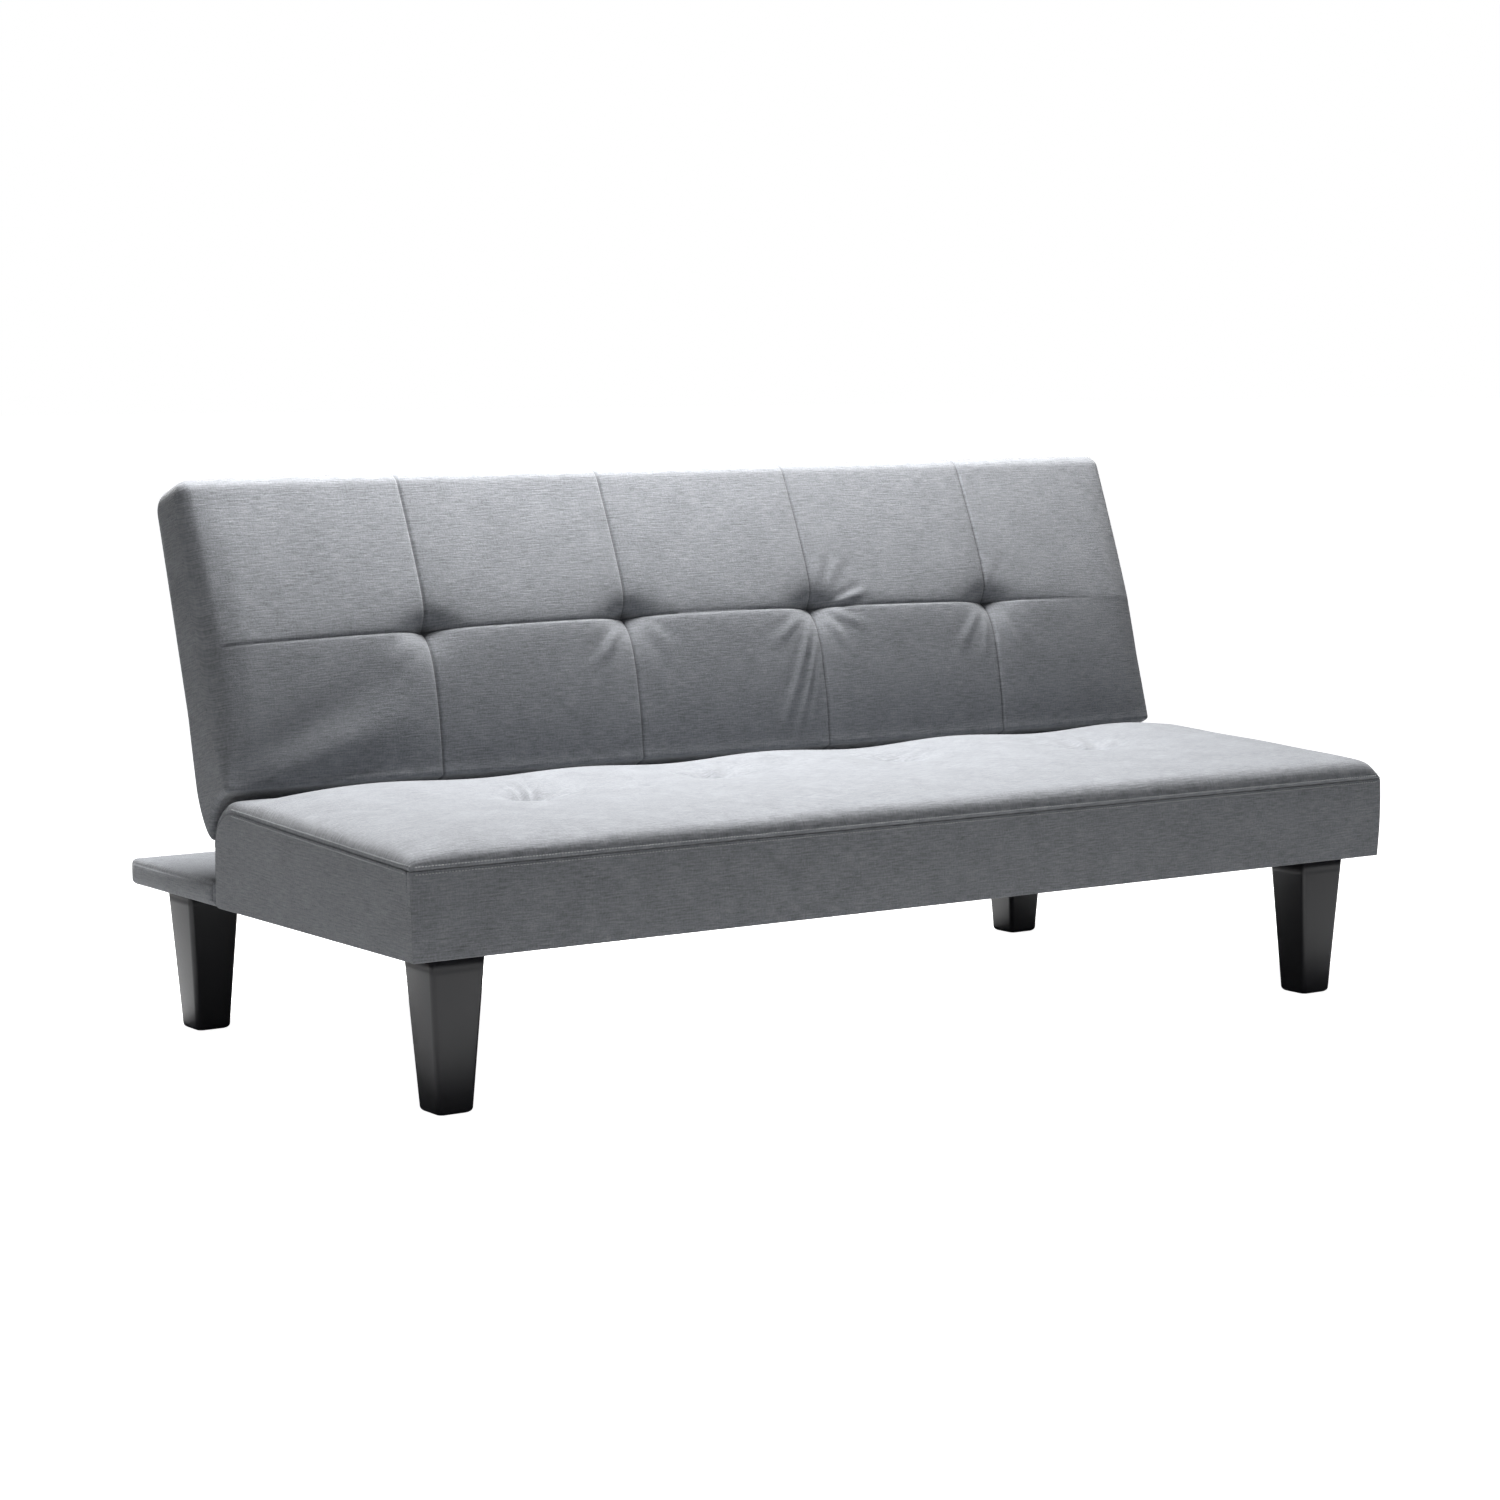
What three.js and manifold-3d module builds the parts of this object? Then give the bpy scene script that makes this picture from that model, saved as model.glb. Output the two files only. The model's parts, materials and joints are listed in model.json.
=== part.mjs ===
// Click clack sofa bed: a padded seat on tapered legs, a rear shelf and a tufted back
// that tips forward one click and lies flat on the shelf. Millimetres, +Z up, front towards -Y.
// Left and right are as seen from the front: left is -X.
import * as THREE from 'three';
import { mergeVertices } from 'three/addons/utils/BufferGeometryUtils.js';
import Module from 'manifold-3d';

const wasm = await Module();
wasm.setup();

// Clearance between pieces that touch
const GAP = 0.3;

// Seat and shelf, with y measured back from the front face
const WIDTH = 1680;
const DEPTH = 857;
const UNDERSIDE = 212;
const SEAT_DEPTH = 574;
const SEAM_FRONT = 331;
const SEAM_RISE = 21;
const REAR_ROUND = 58;
const SHELF_TOP = 250;
const PANEL_COVER = 8;
const SHELF_COVER = 3.7;
const DUST_COVER = 1.5;

// Crown and tufts of the seat
const SEAT_CROWN = 35;
const REAR_CROWN = 15;
const CROWN_EDGE = 21;
const SEAT_TUFT_BACK = 350;
const SEAT_TUFT_DEPTH = 14;
const SEAT_TUFT_SPREAD = 58;
const SEAT_EDGE_LINES = [0, 10, 30, 70];
const SEAT_GRID_EDGE = 130;

// Back, measured from the hinge axis along its own slope
const RECLINE = 17.5;
const BACK_LENGTH = 546;
const BACK_FRONT = 74;
const BACK_REAR = 26;
const BACK_PAD = 58;
const BACK_CROWN = 15;
const BACK_EDGE_ROUND = 20;
const BACK_CORNER_ROUND = 22;
const BACK_FOOT_ROUND = 14;
const BACK_FOOT_BEVEL = 3;
const BACK_SEAM_HEIGHT = 298;
const BACK_SEAM_PROUD = 5;
const BACK_EDGE_REACH = 20;
const BACK_PILLOW_REACH = 30;
const BACK_TUFT_DEPTH = 13;
const BACK_TUFT_SPREAD = 40;
const BACK_EDGE_LINES = [0, 14, 40];
const BACK_SEAM_LINES = [-34, -10, 0, 10, 34];
const BACK_ROLL_TOP = 94;
const BACK_ROLL_TIP = 26;
const ROLL_NOSE = 2;
const ROLL_SHOULDER = 14;
const TOP_ROLL = 34;
const BACK_BOARD = 4;

// Tufts, one column on the seat under each one on the back
const TUFT_COUNT = 4;
const TUFT_PITCH = 342;
const TUFT_SHIFT = 20;

// Timber frame
const BEARER_WIDTH = 64;
const RAIL_THICK = 25;
const BACK_RAIL = 44;
const DECK_THICK = 12;
const SHELF_PANEL = 6;
const DECK_DROP = 6;

// Legs
const LEG_WIDTH = 83;
const LEG_DEPTH = 78;
const LEG_FOOT = 55;
const LEG_CORNER = 7;
const LEG_FOOT_ROUND = 4;
const LEG_SIDE_INSET = 41.6;
const LEG_FRONT_INSET = 30.4;
const LEG_BOLT = 4;
const LEG_BOLT_LENGTH = 52;
const LEG_BOLT_REACH = 20;

// Ratchet hinges
const HINGE_SETBACK = 4;
const FLAT_CLEARANCE = 2;
const LATCH_STEPS = 9;
const SWING_CLEARANCE = 2.5;
const HINGE_PLATE = 4;
const HUB_RADIUS = 23;
const TOOTH_TIP = 21.5;
const TOOTH_DEPTH = 2.6;
const ARM_WIDTH = 24;
const ARM_REACH = 218;
const ARM_FOOT_LENGTH = 120;
const ARM_FOOT_LIFT = 3;
const ARM_NECK_EDGE = 9;
const ARM_NECK_RISE = 4;
const WELL_ROOM = 2;
const ARM_ROOM = 14;
const SLOT_ROOM = 16;
const PIN_RADIUS = 6;
const PIN_HEAD = 3;
const PIN_RIM = 4;
const PAWL_PIN_RADIUS = 3;
const PAWL_PIN_RIM = 2;
const PAWL_BOSS = 6.6;
const PAWL_BACK = 30;
const PAWL_DROP = 27;
const PAWL_MEET = 260;
const PAWL_EASE = 0.4;
const PAWL_TIP_HALF = 1.2;
const PAWL_TIP_LENGTH = 2;
const PAWL_NECK_HALF = 2;
const PAWL_NECK_LENGTH = 6;
const SPRING_WIDTH = 5;
const SPRING_RADIUS = 6;

// Sizes that follow from those above
const HALF = WIDTH / 2;
const INNER = HALF - PANEL_COVER - GAP;
const SEAM_REAR = SEAM_FRONT + SEAM_RISE;
const ROUND_START = SEAT_DEPTH - REAR_ROUND;
const ROUND_BASE = SEAM_REAR - REAR_ROUND;
const DECK_TOP = ROUND_BASE - DECK_DROP;
const FRAME_BASE = UNDERSIDE + DUST_COVER + GAP;
const SHELF_COVER_BASE = SHELF_TOP - SHELF_COVER;
const SHELF_PANEL_BASE = SHELF_COVER_BASE - GAP - SHELF_PANEL;
const BEARER_TOP = SHELF_PANEL_BASE - GAP;
const RAIL_TOP = DECK_TOP - DECK_THICK - GAP;
const FRONT_INNER = PANEL_COVER + GAP;
const SEAT_INNER = SEAT_DEPTH - PANEL_COVER - GAP;
const SHELF_START = SEAT_DEPTH + GAP;
const REAR_INNER = DEPTH - PANEL_COVER - GAP;
const PIVOT_Y = SEAT_DEPTH + HINGE_SETBACK;
const PIVOT_Z = SHELF_TOP + FLAT_CLEARANCE + BACK_REAR;
const LATCH_STEP = (90 - RECLINE) / LATCH_STEPS;
const LEG_X = HALF - LEG_SIDE_INSET - LEG_WIDTH / 2;
const LEG_ROWS = { front: LEG_FRONT_INSET + LEG_DEPTH / 2, rear: DEPTH - LEG_FRONT_INSET - LEG_DEPTH / 2 };
const BEARER_INNER = LEG_X - BEARER_WIDTH / 2;
const PLATE_OUTER = BEARER_INNER - GAP;
const PLATE_INNER = PLATE_OUTER - HINGE_PLATE;
const ARM_OUTER = PLATE_INNER - GAP;
const ARM_INNER = ARM_OUTER - HINGE_PLATE;
const SPRING_INNER = ARM_INNER - GAP - SPRING_WIDTH;
const WELL_INNER = SPRING_INNER - PIN_HEAD - WELL_ROOM;
const WELL_OUTER = PLATE_OUTER + PIN_HEAD + WELL_ROOM;
const BACK_SPLIT = -(BACK_FRONT - BACK_PAD);
const BOARD_REAR = BACK_SPLIT + GAP + BACK_BOARD;
const BACK_COVER_FRONT = BACK_REAR - PANEL_COVER;
const TOP_ROLL_BASE = BACK_LENGTH - TOP_ROLL;
const TUFT_XS = Array.from({ length: TUFT_COUNT }, (_, i) =>
  TUFT_SHIFT + (i - (TUFT_COUNT - 1) / 2) * TUFT_PITCH);

const radians = THREE.MathUtils.degToRad;

// Finishes
const finishes = {
  fabric: { color: 0x98989a, roughness: 0.95, metalness: 0 },
  lining: { color: 0x1c1c1e, roughness: 0.9, metalness: 0 },
  timber: { color: 0xc9a574, roughness: 0.7, metalness: 0 },
  plywood: { color: 0xd8bc8c, roughness: 0.7, metalness: 0 },
  plastic: { color: 0x18181a, roughness: 0.45, metalness: 0 },
  steel: { color: 0x8d9196, roughness: 0.4, metalness: 0.9 },
};

const sofa = new THREE.Group();
sofa.position.y = -DEPTH / 2;
const back = new THREE.Group();
back.position.set(0, PIVOT_Y, PIVOT_Z);
back.rotation.x = -radians(RECLINE);
sofa.add(back);

function add(group, name, finish, geometry) {
  const mesh = new THREE.Mesh(geometry, new THREE.MeshStandardMaterial(finishes[finish]));
  mesh.name = name;
  group.add(mesh);
}

// Booleans on closed geometries
function toSolid(geometry) {
  const plain = geometry.clone();
  plain.deleteAttribute('normal');
  plain.deleteAttribute('uv');
  const merged = mergeVertices(plain, 1e-4);
  const mesh = new wasm.Mesh({
    numProp: 3,
    vertProperties: new Float32Array(merged.attributes.position.array),
    triVerts: new Uint32Array(merged.index.array),
  });
  return new wasm.Manifold(mesh);
}

function toGeometry(solid) {
  const mesh = solid.getMesh();
  const geometry = new THREE.BufferGeometry();
  geometry.setAttribute('position', new THREE.BufferAttribute(mesh.vertProperties, 3));
  geometry.setIndex(new THREE.BufferAttribute(mesh.triVerts, 1));
  geometry.computeVertexNormals();
  return geometry;
}

function cut(geometry, ...tools) {
  return toGeometry(tools.reduce((solid, tool) => solid.subtract(toSolid(tool)), toSolid(geometry)));
}

function join(geometry, ...others) {
  return toGeometry(others.reduce((solid, other) => solid.add(toSolid(other)), toSolid(geometry)));
}

// A box between low and high limits on each axis, on the +X side or mirrored to the -X side
function block([x0, x1], [y0, y1], [z0, z1], side = 1) {
  const geometry = new THREE.BoxGeometry(x1 - x0, y1 - y0, z1 - z0);
  return geometry.translate(side * (x0 + x1) / 2, (y0 + y1) / 2, (z0 + z1) / 2);
}

// A plate or bar with its outline in the y-z plane, running along x
function profile(points, [x0, x1], side = 1) {
  const shape = new THREE.Shape(points.map(([y, z]) => new THREE.Vector2(y, z)));
  const geometry = new THREE.ExtrudeGeometry(shape, { depth: x1 - x0, bevelEnabled: false });
  const axes = new THREE.Matrix4().makeBasis(
    new THREE.Vector3(0, 1, 0), new THREE.Vector3(0, 0, 1), new THREE.Vector3(1, 0, 0));
  geometry.applyMatrix4(axes);
  return geometry.translate(side > 0 ? x0 : -x1, 0, 0);
}

// A round rod along x
function rod(radius, [x0, x1], y, z, side = 1, sides = 20) {
  const geometry = new THREE.CylinderGeometry(radius, radius, x1 - x0, sides);
  return geometry.rotateZ(Math.PI / 2).translate(side * (x0 + x1) / 2, y, z);
}

// A round rod standing upright
function post(radius, x, y, [z0, z1], sides = 16) {
  const geometry = new THREE.CylinderGeometry(radius, radius, z1 - z0, sides);
  return geometry.rotateX(Math.PI / 2).translate(x, y, (z0 + z1) / 2);
}

// A closed soft solid: whole skins at the front and rear of a grid, with rings round its edge between
function softSolid(columns, rows, layers) {
  const positions = [];
  const index = [];
  const last = { u: columns.length - 1, v: rows.length - 1 };
  const rim = [];
  for (let i = 0; i < last.u; i++) rim.push([i, 0]);
  for (let j = 0; j < last.v; j++) rim.push([last.u, j]);
  for (let i = last.u; i > 0; i--) rim.push([i, last.v]);
  for (let j = last.v; j > 0; j--) rim.push([0, j]);
  const place = (layer, i, j) => positions.push(...layer(columns[i], rows[j])) / 3 - 1;
  const wholeSkin = (layer, flip) => {
    const at = columns.map((_, i) => rows.map((__, j) => place(layer, i, j)));
    for (let i = 0; i < last.u; i++) {
      for (let j = 0; j < last.v; j++) {
        const [a, b, c, d] = [at[i][j], at[i + 1][j], at[i + 1][j + 1], at[i][j + 1]];
        index.push(...(flip ? [a, c, b, a, d, c] : [a, b, c, a, c, d]));
      }
    }
    return rim.map(([i, j]) => at[i][j]);
  };
  let upper = wholeSkin(layers[0], false);
  for (let k = 1; k < layers.length; k++) {
    const whole = k === layers.length - 1;
    const lower = whole ? wholeSkin(layers[k], true) : rim.map(([i, j]) => place(layers[k], i, j));
    rim.forEach((_, n) => {
      const m = (n + 1) % rim.length;
      index.push(upper[n], lower[n], lower[m], upper[n], lower[m], upper[m]);
    });
    upper = lower;
  }
  const geometry = new THREE.BufferGeometry();
  geometry.setAttribute('position', new THREE.Float32BufferAttribute(positions, 3));
  geometry.setIndex(index);
  geometry.computeVertexNormals();
  return geometry;
}

// How far a padded face has risen at a distance from its edge
const rise = (distance, reach) => 1 - Math.exp(-distance / reach);
const dimple = (dx, dy, spread) => Math.exp(-(dx * dx + dy * dy) / (spread * spread));

// Evenly spaced values, ends included
function spaced(from, to, steps) {
  return Array.from({ length: steps + 1 }, (_, i) => from + (to - from) * i / steps);
}

// The side seam of the seat, from the front edge over the rear round
function seatSeam(run) {
  if (run <= ROUND_START) {
    return { y: run, z: SEAM_FRONT + SEAM_RISE * run / ROUND_START, turn: 0 };
  }
  const turn = Math.min((run - ROUND_START) / REAR_ROUND, Math.PI / 2);
  return {
    y: ROUND_START + REAR_ROUND * Math.sin(turn),
    z: ROUND_BASE + REAR_ROUND * Math.cos(turn),
    turn,
  };
}
const SEAM_RUN = ROUND_START + REAR_ROUND * Math.PI / 2;

function seamPoints(drop) {
  const runs = [...spaced(0, ROUND_START, 4), ...spaced(ROUND_START, SEAM_RUN, 8).slice(1)];
  return runs.map((run) => {
    const { y, z } = seatSeam(run);
    return [y, z - drop];
  });
}

// Seat cushion: crowned, rounded over at the rear, with a row of sewn tufts
function seatCushion() {
  const between = spaced(SEAT_GRID_EDGE - HALF, HALF - SEAT_GRID_EDGE, 24);
  const columns = [
    ...SEAT_EDGE_LINES.map((inset) => inset - HALF),
    ...between,
    ...SEAT_EDGE_LINES.map((inset) => HALF - inset).reverse(),
  ];
  const rows = [
    ...SEAT_EDGE_LINES,
    ...spaced(SEAT_GRID_EDGE, SEAT_TUFT_BACK, 4),
    ...spaced(SEAT_TUFT_BACK, ROUND_START, 4).slice(1, -1),
    ...spaced(ROUND_START, SEAM_RUN, 5),
  ];
  const top = (x, run) => {
    const { y, z, turn } = seatSeam(run);
    const sides = rise(HALF - Math.abs(x), CROWN_EDGE);
    const fall = THREE.MathUtils.smoothstep(run, SEAT_TUFT_BACK, ROUND_START);
    const height = (SEAT_CROWN + (REAR_CROWN - SEAT_CROWN) * fall) * Math.cos(turn);
    const tufts = TUFT_XS.reduce((sum, tuft) =>
      sum + dimple(x - tuft, run - SEAT_TUFT_BACK, SEAT_TUFT_SPREAD), 0);
    const lift = height * sides * rise(run, CROWN_EDGE) - SEAT_TUFT_DEPTH * tufts;
    return [x, y + lift * Math.sin(turn), z + lift * Math.cos(turn)];
  };
  const bottom = (x, run) => [x, seatSeam(run).y, DECK_TOP + GAP];
  const seam = [...seamPoints(GAP), [SEAT_DEPTH, UNDERSIDE], [0, UNDERSIDE]];
  const overhang = [INNER, HALF + 1];
  const full = [-HALF - 1, HALF + 1];
  return cut(
    softSolid(columns, rows, [top, bottom]),
    profile(seam, overhang),
    profile(seam, overhang, -1),
    block(full, [-1, FRONT_INNER], [UNDERSIDE, SEAM_FRONT - GAP]),
    block(full, [SEAT_INNER, SEAT_DEPTH + 1], [UNDERSIDE, ROUND_BASE - GAP]),
    hingeWell(1),
    hingeWell(-1),
  );
}

// Space round each hinge, cut in whatever the hinge reaches into
function hingeWell(side) {
  const reach = HUB_RADIUS + WELL_ROOM;
  return block([WELL_INNER, WELL_OUTER], [PIVOT_Y - reach, SEAT_DEPTH + WELL_ROOM],
    [FRAME_BASE, PIVOT_Z + reach + ARM_ROOM], side);
}

function seatCovers() {
  const top = SEAM_FRONT - 2 * GAP;
  const corner = new THREE.Shape();
  corner.moveTo(HALF, PANEL_COVER);
  corner.lineTo(-HALF, PANEL_COVER);
  corner.absarc(-HALF + PANEL_COVER, PANEL_COVER, PANEL_COVER, Math.PI, 1.5 * Math.PI);
  corner.absarc(HALF - PANEL_COVER, PANEL_COVER, PANEL_COVER, 1.5 * Math.PI, 2 * Math.PI);
  const options = { depth: top - UNDERSIDE, bevelEnabled: false, curveSegments: 5 };
  add(sofa, 'seat_front_cover', 'fabric',
    new THREE.ExtrudeGeometry(corner, options).translate(0, 0, UNDERSIDE));
  const line = seamPoints(2 * GAP).filter(([y]) => y > FRONT_INNER);
  const side = [[FRONT_INNER, UNDERSIDE], [FRONT_INNER, top], ...line, [SEAT_DEPTH, UNDERSIDE]];
  add(sofa, 'seat_left_cover', 'fabric', profile(side.reverse(), [HALF - PANEL_COVER, HALF], -1));
  add(sofa, 'seat_right_cover', 'fabric', profile(side, [HALF - PANEL_COVER, HALF]));
  const rear = [SEAT_DEPTH - PANEL_COVER, SEAT_DEPTH];
  const height = [SHELF_TOP + GAP, ROUND_BASE - 2 * GAP];
  add(sofa, 'seat_rear_cover', 'fabric', block([-WELL_INNER, WELL_INNER], rear, height));
  add(sofa, 'seat_rear_cover_left', 'fabric', block([WELL_OUTER, INNER], rear, height, -1));
  add(sofa, 'seat_rear_cover_right', 'fabric', block([WELL_OUTER, INNER], rear, height));
}

// Base frame: three bearers from front to rear, rails round them, a deck and the shelf panel
function boltHoles() {
  const holes = [];
  for (const side of [-1, 1]) {
    for (const y of Object.values(LEG_ROWS)) {
      holes.push(post(LEG_BOLT + GAP, side * LEG_X, y, [UNDERSIDE - LEG_BOLT_LENGTH, BEARER_TOP + 1]));
    }
  }
  return holes;
}

function baseFrame() {
  const bearerRun = [FRONT_INNER + RAIL_THICK + GAP, REAR_INNER - RAIL_THICK - GAP];
  const low = [FRAME_BASE, BEARER_TOP];
  const outer = [BEARER_INNER, BEARER_INNER + BEARER_WIDTH];
  const holes = boltHoles();
  add(sofa, 'left_bearer', 'timber', cut(block(outer, bearerRun, low, -1), ...holes));
  add(sofa, 'right_bearer', 'timber', cut(block(outer, bearerRun, low), ...holes));
  add(sofa, 'centre_bearer', 'timber', block([-BEARER_WIDTH / 2, BEARER_WIDTH / 2], bearerRun, low));
  add(sofa, 'seat_front_rail', 'timber',
    block([-INNER, INNER], [FRONT_INNER, FRONT_INNER + RAIL_THICK], [FRAME_BASE, RAIL_TOP]));
  const sideInner = INNER - RAIL_THICK;
  add(sofa, 'seat_rear_rail', 'timber', cut(
    block([-sideInner + GAP, sideInner - GAP], [SEAT_INNER - RAIL_THICK, SEAT_INNER],
      [BEARER_TOP + GAP, RAIL_TOP]),
    hingeWell(1), hingeWell(-1)));
  const step = [
    [bearerRun[0], FRAME_BASE],
    [bearerRun[1], FRAME_BASE],
    [bearerRun[1], BEARER_TOP],
    [SEAT_INNER, BEARER_TOP],
    [SEAT_INNER, RAIL_TOP],
    [bearerRun[0], RAIL_TOP],
  ];
  add(sofa, 'left_side_rail', 'timber', profile(step, [sideInner, INNER], -1));
  add(sofa, 'right_side_rail', 'timber', profile(step, [sideInner, INNER]));
  add(sofa, 'shelf_rear_rail', 'timber',
    block([-INNER, INNER], [REAR_INNER - RAIL_THICK, REAR_INNER], low));
  add(sofa, 'seat_deck', 'plywood', cut(
    block([-INNER, INNER], [FRONT_INNER, SEAT_INNER], [RAIL_TOP + GAP, DECK_TOP]),
    hingeWell(1), hingeWell(-1)));
  add(sofa, 'dust_cover', 'lining', cut(
    block([-INNER, INNER], [FRONT_INNER, REAR_INNER], [UNDERSIDE, UNDERSIDE + DUST_COVER]), ...holes));
}

// Shelf behind the seat, slotted where the hinges rise through it
function shelf() {
  const slotEnd = PIVOT_Y + PAWL_BACK + SLOT_ROOM;
  const slot = [SEAT_INNER - 1, slotEnd];
  const through = [SHELF_PANEL_BASE - 1, SHELF_TOP + 1];
  const slots = [1, -1].map((side) => block([WELL_INNER, WELL_OUTER], slot, through, side));
  add(sofa, 'shelf_panel', 'plywood', cut(
    block([-INNER, INNER], [SEAT_INNER + GAP, REAR_INNER], [SHELF_PANEL_BASE, SHELF_COVER_BASE - GAP]),
    ...slots));
  add(sofa, 'shelf_top_cover', 'fabric', cut(
    block([-HALF, HALF], [SHELF_START, DEPTH], [SHELF_COVER_BASE, SHELF_TOP]), ...slots));
  const edge = [UNDERSIDE, SHELF_COVER_BASE - GAP];
  const run = [SHELF_START, DEPTH - PANEL_COVER - GAP];
  const wall = [HALF - PANEL_COVER, HALF];
  add(sofa, 'shelf_left_cover', 'fabric', block(wall, run, edge, -1));
  add(sofa, 'shelf_right_cover', 'fabric', block(wall, run, edge));
  add(sofa, 'shelf_rear_cover', 'fabric', block([-HALF, HALF], [DEPTH - PANEL_COVER, DEPTH], edge));
}

// Tapered leg with rounded upright edges, bored for its bolt
function legOutline(halfWidth, halfDepth, z) {
  const points = [];
  for (const [sx, sy, start] of [[1, 1, 0], [-1, 1, 90], [-1, -1, 180], [1, -1, 270]]) {
    for (const angle of spaced(start, start + 90, 4)) {
      points.push([
        sx * (halfWidth - LEG_CORNER) + LEG_CORNER * Math.cos(radians(angle)),
        sy * (halfDepth - LEG_CORNER) + LEG_CORNER * Math.sin(radians(angle)),
        z,
      ]);
    }
  }
  return points;
}

function leg(x, y) {
  const foot = LEG_FOOT / 2;
  const rings = [
    legOutline(foot - LEG_FOOT_ROUND, foot - LEG_FOOT_ROUND, 0),
    legOutline(foot, foot, LEG_FOOT_ROUND),
    legOutline(LEG_WIDTH / 2, LEG_DEPTH / 2, UNDERSIDE - GAP),
  ];
  const positions = rings.flat(2);
  const count = rings[0].length;
  const index = [];
  for (let k = 0; k + 1 < rings.length; k++) {
    for (let n = 0; n < count; n++) {
      const [a, b] = [k * count + n, k * count + (n + 1) % count];
      index.push(a, b, b + count, a, b + count, a + count);
    }
  }
  const crown = (rings.length - 1) * count;
  for (let n = 1; n + 1 < count; n++) {
    index.push(0, n + 1, n, crown, crown + n, crown + n + 1);
  }
  const geometry = new THREE.BufferGeometry();
  geometry.setAttribute('position', new THREE.Float32BufferAttribute(positions, 3));
  geometry.setIndex(index);
  geometry.translate(x, y, 0);
  const bore = [UNDERSIDE - LEG_BOLT_LENGTH + LEG_BOLT_REACH - GAP, UNDERSIDE + 1];
  return cut(geometry, post(LEG_BOLT + GAP, x, y, bore));
}

function legs() {
  for (const [row, y] of Object.entries(LEG_ROWS)) {
    for (const [sideName, side] of [['left', -1], ['right', 1]]) {
      add(sofa, `${row}_${sideName}_leg`, 'plastic', leg(side * LEG_X, y));
      const bolt = [UNDERSIDE - LEG_BOLT_LENGTH + LEG_BOLT_REACH, UNDERSIDE + LEG_BOLT_REACH];
      add(sofa, `${row}_${sideName}_leg_bolt`, 'steel', post(LEG_BOLT, side * LEG_X, y, bolt));
    }
  }
}

// Centre of the seat's rear round as the back sees it when tipped one click forward
const tipped = radians(RECLINE - LATCH_STEP);
const roundFrom = { y: ROUND_START - PIVOT_Y, z: ROUND_BASE + REAR_CROWN - PIVOT_Z };
const roundCentre = {
  t: roundFrom.y * Math.cos(tipped) - roundFrom.z * Math.sin(tipped),
  w: roundFrom.y * Math.sin(tipped) + roundFrom.z * Math.cos(tipped),
};
const sweptRound = REAR_ROUND + SWING_CLEARANCE;

// Lowest point that the back may have at a depth t, so that it passes over the seat's rear round
function lowerEdge(t) {
  return roundCentre.w + Math.sqrt(Math.max(sweptRound ** 2 - (t - roundCentre.t) ** 2, 0));
}

// Back cushion: crowned between its seams, with a tuft where each upright seam crosses the level one
function backCushion() {
  const between = (from, lines, to) => {
    const seams = lines.flatMap((line) => BACK_SEAM_LINES.map((shift) => line + shift));
    const stops = [from, ...lines, to];
    const middles = stops.slice(1).map((stop, i) => (stop + stops[i]) / 2);
    const edges = BACK_EDGE_LINES.flatMap((inset) => [from + inset, to - inset]);
    return [...edges, ...seams, ...middles].sort((a, b) => a - b);
  };
  const foot = lowerEdge(-BACK_FRONT) + BACK_FOOT_ROUND;
  const head = BACK_LENGTH - BACK_EDGE_ROUND;
  const level = BACK_SEAM_HEIGHT;
  const columns = between(-HALF, TUFT_XS, HALF);
  const rows = between(foot, [level], head);
  const round = BACK_EDGE_ROUND;
  const at = (x, row, inset, low, t) => {
    const across = x * (HALF - inset) / HALF;
    const high = BACK_LENGTH - inset;
    const w = low + (high - low) * (row - foot) / (head - foot);
    const past = { x: Math.abs(across) - (HALF - inset - BACK_CORNER_ROUND),
      w: w - (high - BACK_CORNER_ROUND) };
    if (past.x <= 0 || past.w <= 0) return [across, t, w];
    const pull = 1 - Math.max(past.x, past.w) / Math.hypot(past.x, past.w);
    return [across - Math.sign(across) * past.x * pull, t, w - past.w * pull];
  };
  const pillow = (x, row) => {
    const upright = Math.min(HALF - Math.abs(x), ...TUFT_XS.map((tuft) => Math.abs(x - tuft)));
    const across = Math.min(row - foot, head - row, Math.abs(row - level));
    const tufts = TUFT_XS.reduce((sum, tuft) =>
      sum + dimple(x - tuft, row - level, BACK_TUFT_SPREAD), 0);
    const edgeRise = rise(Math.min(HALF - Math.abs(x), row - foot, head - row), BACK_EDGE_REACH);
    const swell = rise(upright, BACK_PILLOW_REACH) * rise(across, BACK_PILLOW_REACH);
    return BACK_CROWN * swell + (BACK_SEAM_PROUD - BACK_TUFT_DEPTH * tufts) * edgeRise;
  };
  const front = (x, row) => {
    const [across, t, w] = at(x, row, round, foot, -BACK_FRONT);
    return [across, t - pillow(x, row), w];
  };
  const quarter = round * (1 - Math.SQRT1_2);
  const bevel = -BACK_FRONT + quarter;
  const straight = -BACK_FRONT + round;
  const rim = (x, row) => at(x, row, quarter, lowerEdge(bevel) + BACK_FOOT_BEVEL, bevel);
  const walls = spaced(straight, BACK_SPLIT, 3).map((t) => (x, row) => at(x, row, 0, lowerEdge(t), t));
  return softSolid(columns, rows, [front, rim, ...walls]);
}

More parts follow.
